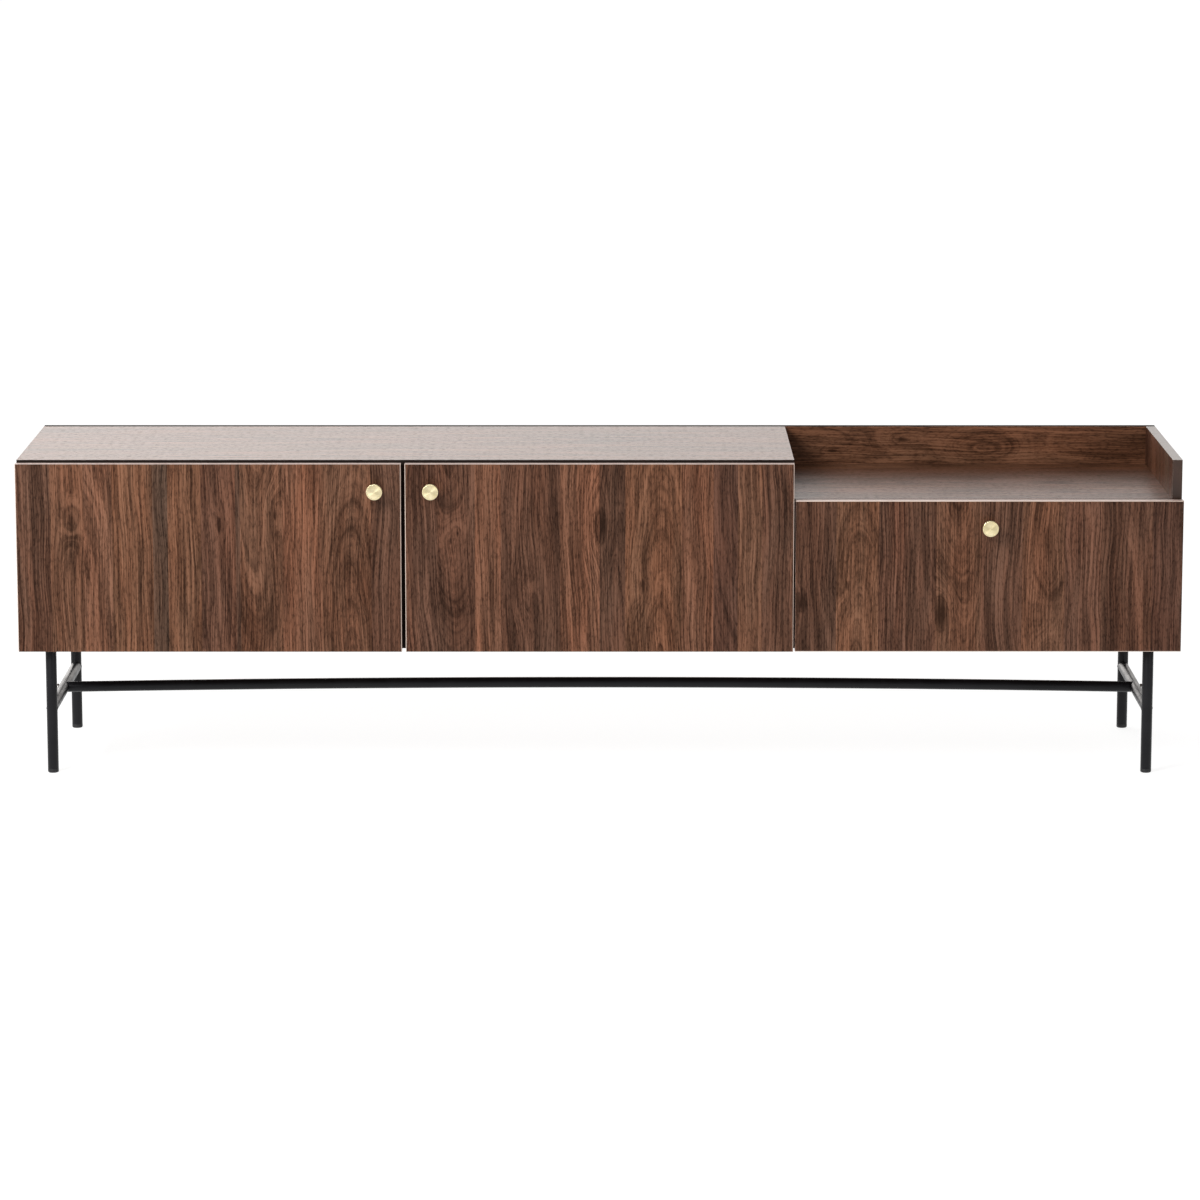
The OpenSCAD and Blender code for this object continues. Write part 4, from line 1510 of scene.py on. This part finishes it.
@dataclass
class LegFrame:
    """The black tube frame: legs, crossbars, mounting rails and the arched stretcher.

    Args:
        tube: the radius of its tubes.
        bead: the radius of the weld beads.
        ripple: how much of that radius the ripples take or add.
        arch: how far the stretcher's middle rises above its ends.
    """

    tube: float = 8.5 * MM
    bead: float = 0.6 * MM
    ripple: float = 0.12
    arch: float = 7.4 * MM

    def build_stretcher(self) -> Piece:
        """Bends the stretcher in one smooth arch and cuts its ends to the crossbars.

        Returns:
            The stretcher.
        """
        low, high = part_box("crossbar_left")
        middle = (low + high) / 2
        reach = -middle.x
        clear_selection()
        bpy.ops.curve.primitive_bezier_curve_add(location=(0.0, 0.0, 0.0))
        line = bpy.context.object
        line.data.dimensions = "3D"
        line.data.resolution_u = 64
        line.data.bevel_depth = self.tube
        line.data.bevel_resolution = 10
        line.data.use_fill_caps = True
        rise = middle.z + 4 * self.arch / 3
        for point, side in zip(line.data.splines[0].bezier_points, (-1.0, 1.0)):
            point.handle_left_type = point.handle_right_type = "FREE"
            point.co = (side * reach, middle.y, middle.z)
            inner = (side * reach / 3, middle.y, rise)
            outer = (side * reach * 5 / 3, middle.y, 2 * middle.z - rise)
            point.handle_left, point.handle_right = (outer, inner) if side < 0 else (inner, outer)
        hold(line)
        bpy.ops.object.convert(target="MESH")
        piece = settle(bpy.context.object, "stretcher_tube")
        with Bench(piece):
            bpy.ops.mesh.select_all(action="SELECT")
            bpy.ops.mesh.remove_doubles(threshold=0.01 * MM)
            bpy.ops.mesh.normals_make_consistent(inside=False)
        for side in (-1.0, 1.0):
            end = (side * reach, middle.y, middle.z)
            cut(piece, turned_bar("saddle", self.tube, 8 * self.tube, end))
        smooth(piece)
        return piece

    def build_beads(self) -> Piece:
        """Lays a weld bead round each joint of the side frames.

        Returns:
            The beads as one piece.
        """
        beads = []
        for side in ("left", "right"):
            low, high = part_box(f"crossbar_{side}")
            x, z = (low.x + high.x) / 2, (low.z + high.z) / 2
            for end in ("front", "rear"):
                leg_low, leg_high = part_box(f"leg_{end}_{side}")
                y = (leg_low.y + leg_high.y) / 2
                inward = 1.0 if end == "front" else -1.0
                beads.append(self._bead(self._saddle(x, y, z, inward)))
                beads.append(self._bead(self._ring(x, y, leg_high.z - 0.2 * MM)))
        piece = join("weld_beads", beads)
        smooth(piece, 60)
        return piece

    def _saddle(self, x: float, y: float, z: float, inward: float) -> list[Vector]:
        """Finds the line where a crossbar's end meets a leg's round side.

        Args:
            x: the side frame's place.
            y: the leg's axis.
            z: the crossbar's axis.
            inward: which way the crossbar leaves the leg, 1 or -1.

        Returns:
            The line's points.
        """
        count = 56
        turns = [2 * math.pi * (k + 0.5) / count for k in range(count)]
        round_line = [(self.tube * math.cos(a), self.tube * math.sin(a)) for a in turns]
        return [Vector((x + aside, y + inward * abs(up), z + up)) for aside, up in round_line]

    def _ring(self, x: float, y: float, z: float) -> list[Vector]:
        """Finds the line where a leg's top meets its mounting rail.

        Args:
            x: the side frame's place.
            y: the leg's axis.
            z: the height of the leg's top.

        Returns:
            The line's points.
        """
        count = 40
        turns = [2 * math.pi * k / count for k in range(count)]
        return [Vector((x + self.tube * math.cos(a), y + self.tube * math.sin(a), z)) for a in turns]

    def _bead(self, line: Sequence[Vector]) -> Piece:
        """Lays a closed bead of weld along a line, rippled as the torch left it.

        Args:
            line: the line's points.

        Returns:
            The bead.
        """
        data = bpy.data.curves.new("bead", "CURVE")
        data.dimensions = "3D"
        data.bevel_depth = self.bead
        data.bevel_resolution = 2
        spline = data.splines.new("POLY")
        spline.points.add(len(line) - 1)
        for number, (point, place) in enumerate(zip(spline.points, line)):
            point.co = (*place, 1.0)
            point.radius = 1.0 + self.ripple * math.sin(2.3 * number)
        spline.use_cyclic_u = True
        bead = bpy.data.objects.new("bead", data)
        bpy.context.scene.collection.objects.link(bead)
        hold(bead)
        bpy.ops.object.convert(target="MESH")
        return bpy.context.object

    def make(self, shop: PaintShop) -> None:
        """Builds, dresses and delivers the whole frame.

        Args:
            shop: the shared finishes.
        """
        for side in ("left", "right"):
            for node, easing in (
                (f"leg_front_{side}", 0.2 * MM),
                (f"leg_rear_{side}", 0.2 * MM),
                (f"mounting_rail_{side}", 0.6 * MM),
            ):
                Fitting(node, "carcass", "black_metal", easing).make(shop.black)
            Fitting(f"crossbar_{side}", "carcass", "black_metal", 0.0).make(shop.black)
        stretcher = self.build_stretcher()
        dress(stretcher, shop.black)
        deliver(stretcher, "carcass", "black_metal", "stretcher")
        beads = self.build_beads()
        dress(beads, shop.black)
        deliver(beads, "carcass", "black_metal")


@dataclass
class Fittings:
    """Hinges, stays, catch, screws, grommets, glides and bumpers.

    Args:
        plate: how far pressed and drawn parts are eased.
        head: how far screw heads and thick mouldings are eased.
        soft: how far bumpers are eased.
    """

    plate: float = 0.3 * MM
    head: float = 0.5 * MM
    soft: float = 1.0 * MM

    def of_front(self, front: str, body: str) -> list[Fitting]:
        """The metal parts of one front's hinges and knob.

        Args:
            front: the front's name in its nodes.
            body: the CAD body that the front is.

        Returns:
            The parts.
        """
        return [
            Fitting(f"hinge_arms_{front}", "carcass", easing=self.plate),
            Fitting(f"hinge_cups_{front}", body, easing=0.2 * MM),
            Fitting(f"cup_screws_{front}", body, easing=self.head, drive=Drive.CROSS),
            Fitting(f"knob_screw_{front}", body, easing=self.head, drive=Drive.CROSS),
        ]

    def of_carcass(self) -> list[Fitting]:
        """The metal parts that stay on the cabinet.

        Returns:
            The parts.
        """
        return [
            Fitting("hinge_plates", "carcass", easing=self.plate),
            Fitting("hinge_plate_screws", "carcass", easing=self.head, drive=Drive.CROSS),
            Fitting("hinge_arm_screws", "carcass", easing=0.4 * MM, drive=Drive.CROSS),
            Fitting("back_screws", "carcass", easing=self.plate, drive=Drive.CROSS),
            Fitting("rail_screws", "carcass", easing=self.head, drive=Drive.CROSS),
            Fitting("cam_locks", "carcass", easing=self.plate, drive=Drive.CROSS, flat=True),
            Fitting("stretcher_bolts", "carcass", easing=self.plate),
            Fitting("stay_studs", "carcass", easing=self.plate),
        ]

    def of_stays(self) -> list[Fitting]:
        """The metal parts of the flap's stays and catch that move with the flap.

        Returns:
            The parts.
        """
        return [
            Fitting("catch_strike", "flap", easing=self.plate),
            Fitting("stay_brackets", "flap", easing=self.plate),
            Fitting("stay_arm_left", "flap_stays", easing=self.plate),
            Fitting("stay_arm_right", "flap_stays", easing=self.plate),
        ]

    def make(self, shop: PaintShop) -> None:
        """Builds, dresses and delivers every fitting, and dresses the hidden CAD nodes that stay.

        Args:
            shop: the shared finishes.
        """
        metal = self.of_carcass() + self.of_stays()
        for front, body in FRONT_BODIES.items():
            metal += self.of_front(front, body)
        for part in metal:
            part.make(shop.nickel)
        for node, easing in (
            ("cable_grommets", self.head),
            ("foot_glides", self.plate),
            ("catch_magnet", self.head),
        ):
            Fitting(node, "carcass", "black_plastic", easing).make(shop.plastic)
        for front, body in FRONT_BODIES.items():
            Fitting(f"bumpers_{front}", body, "clear_bumper", self.soft).make(shop.clear)
            dress(frame["nodes"][f"hinge_pins_{front}"], shop.nickel)
        for node in ("cam_bolts", "stretcher_inserts", "catch_screws"):
            dress(frame["nodes"][node], shop.nickel)
        dress(frame["nodes"]["dowels"], shop.beech)


# ---------- studio ----------
@dataclass(frozen=True)
class Lamp:
    """A square lamp.

    Args:
        name: its name.
        place: where it hangs.
        aim: the point that it is turned to.
        size: the length of its sides.
        power: its power in watts.
    """

    name: str
    place: tuple[float, float, float]
    aim: tuple[float, float, float]
    size: float
    power: float

    def hang(self) -> None:
        """Hangs the lamp at its place, turned to its aim."""
        lamp = bpy.data.lights.new(self.name, "AREA")
        lamp.size = self.size
        lamp.energy = self.power
        holder = bpy.data.objects.new(self.name, lamp)
        holder.location = self.place
        turn = (Vector(self.aim) - Vector(self.place)).to_track_quat("-Z", "Y")
        holder.rotation_euler = turn.to_euler()
        bpy.context.scene.collection.objects.link(holder)


@dataclass
class Studio:
    """Floor, light and camera.

    Args:
        eye: the camera's place.
        pitch: how far it looks down, in degrees.
        lens: its focal length in millimetres.
        floor_size: the length of the floor's sides.
        glow: how the room brightens towards the back: from and to where, and from and to what strength.
        lean: the same from left to right, where it dims.
        warm: the colour of the room behind the stand.
        floor_tone: the colour of the floor, which the lamps light.
        floor_glow: how much white light the floor gives by itself.
        lamps: the main lamp, and the one that lightens its shadows.
    """

    eye: tuple[float, float, float] = (0.0007, -7.323, 1.5652)
    pitch: float = 10.2265
    lens: float = 140.725
    floor_size: float = 80.0
    glow: tuple[float, float, float, float] = (0.1, 0.97, 0.40, 2.52)
    lean: tuple[float, float, float, float] = (-0.35, 0.35, 1.54, 0.46)
    warm: Colour = (1.0, 0.965, 0.935)
    floor_tone: Colour = (0.24, 0.24, 0.24)
    floor_glow: float = 0.84
    lamps: Sequence[Lamp] = (
        Lamp("key", (-3.0, -3.6, 3.4), (0.0, -0.1, 0.3), 2.0, 250.0),
        Lamp("fill", (3.4, -3.2, 1.8), (0.2, 0.0, 0.3), 2.6, 30.0),
    )

    def lay_floor(self) -> None:
        """Lays the plain white floor."""
        clear_selection()
        bpy.ops.mesh.primitive_plane_add(size=self.floor_size, location=(0.0, 0.0, 0.0))
        floor = settle(bpy.context.object, "studio_floor")
        desk = NodeDesk("white_floor")
        desk.put(
            Base_Color=self.floor_tone,
            Roughness=0.9,
            Specular_IOR_Level=0.0,
            Emission_Color=(1.0, 1.0, 1.0),
            Emission_Strength=self.floor_glow,
        )
        dress(floor, desk.material)

    def light(self) -> None:
        """Lights a white room that is brightest behind the stand, with a broad lamp up at the left."""
        world = bpy.data.worlds.new("white_room")
        bpy.context.scene.world = world
        world.use_nodes = True
        tree = world.node_tree
        room = tree.nodes["Background"]
        place = tree.nodes.new("ShaderNodeTexCoord")
        parts = tree.nodes.new("ShaderNodeSeparateXYZ")
        tree.links.new(place.outputs["Generated"], parts.inputs[0])
        product = tree.nodes.new("ShaderNodeMath")
        product.operation = "MULTIPLY"
        slopes = ((1, self.glow, "SMOOTHSTEP"), (0, self.lean, "LINEAR"))
        for number, (part, spread, easing) in enumerate(slopes):
            level = tree.nodes.new("ShaderNodeMapRange")
            level.interpolation_type = easing
            for target, value in zip(level.inputs[1:5], spread):
                target.default_value = value
            tree.links.new(parts.outputs[part], level.inputs[0])
            tree.links.new(level.outputs[0], product.inputs[number])
        warmth = tree.nodes.new("ShaderNodeMix")
        warmth.data_type = "RGBA"
        warmth.inputs[6].default_value = (1.0, 1.0, 1.0, 1.0)
        warmth.inputs[7].default_value = (*self.warm, 1.0)
        tree.links.new(parts.outputs[1], warmth.inputs[0])
        tree.links.new(product.outputs[0], room.inputs["Strength"])
        tree.links.new(warmth.outputs[2], room.inputs["Color"])
        for lamp in self.lamps:
            lamp.hang()

    def set_camera(self) -> None:
        """Puts the camera in front, a little above, looking down at the stand."""
        camera = bpy.data.cameras.new("camera")
        camera.lens = self.lens
        camera.sensor_width = 36.0
        camera.clip_end = 200.0
        holder = bpy.data.objects.new("camera", camera)
        holder.location = self.eye
        holder.rotation_euler = (math.radians(90.0 - self.pitch), 0.0, 0.0)
        bpy.context.scene.collection.objects.link(holder)
        bpy.context.scene.camera = holder
        bpy.context.scene.view_settings.view_transform = "Standard"

    def make(self) -> None:
        """Sets up the whole studio."""
        self.lay_floor()
        self.light()
        self.set_camera()


def turned_strips(start: int) -> list[Strip]:
    """The cabinet's strips from another start, so that two boards differ."""
    return [CASE_STRIPS[(k + start) % len(CASE_STRIPS)] for k in range(len(CASE_STRIPS))]


def front_board(node: str, strips: Sequence[Strip], seed: float, body: str, knots: Sequence[Knot]) -> Board:
    """A door or the flap: a board with upright grain, its edge band lightened as painted sheen and its
    arrises as painted highlights.

    Args:
        node: the CAD node that it is planed from.
        strips: its strips of veneer.
        seed: its grain's own number.
        body: the CAD body that it is.
        knots: its knots.

    Returns:
        The front, still to be made.
    """
    return Board(node, Grain.FRONT, strips, seed, body, Edging.LIGHT, 0.65 * MM, knots=knots)


def main() -> None:
    """Builds every sub-assembly in order."""
    logging.basicConfig(level=logging.INFO, format="%(message)s")
    shop = PaintShop()
    boards = (
        front_board("door_left", LEFT_DOOR_STRIPS, 1.3, "door_left", LEFT_DOOR_KNOTS),
        front_board("door_middle", MIDDLE_DOOR_STRIPS, 4.7, "door_middle", MIDDLE_DOOR_KNOTS),
        front_board("flap_panel", FLAP_STRIPS, 8.1, "flap", FLAP_KNOTS),
        Board("top_panel", Grain.LEVEL, TOP_STRIPS, 11.9),
        Board("tray_panel", Grain.LEVEL, turned_strips(2), 14.2),
        Board("bottom_panel", Grain.LEVEL, turned_strips(4), 17.5),
        Board("side_panel_left", Grain.SIDE, turned_strips(1), 20.1),
        Board(
            "side_panel_right",
            Grain.SIDE,
            SIDE_STRIPS,
            23.6,
            edging=Edging.WALNUT,
            easing=1.3 * MM,
            shine=0.06,
        ),
        Board("divider_mid", Grain.SIDE, turned_strips(5), 26.4),
        Board("divider_tray", Grain.SIDE, turned_strips(6), 29.8),
        Board("back_board", Grain.BACK, BACK_STRIPS, 32.7, knots=BACK_KNOTS),
    )
    for board in boards:
        board.make(shop)
    for side, body in FRONT_BODIES.items():
        Knob(side, body).make()
    LegFrame().make(shop)
    Fittings().make(shop)
    Studio().make()
    clear_selection()


if __name__ == "__main__":
    main()
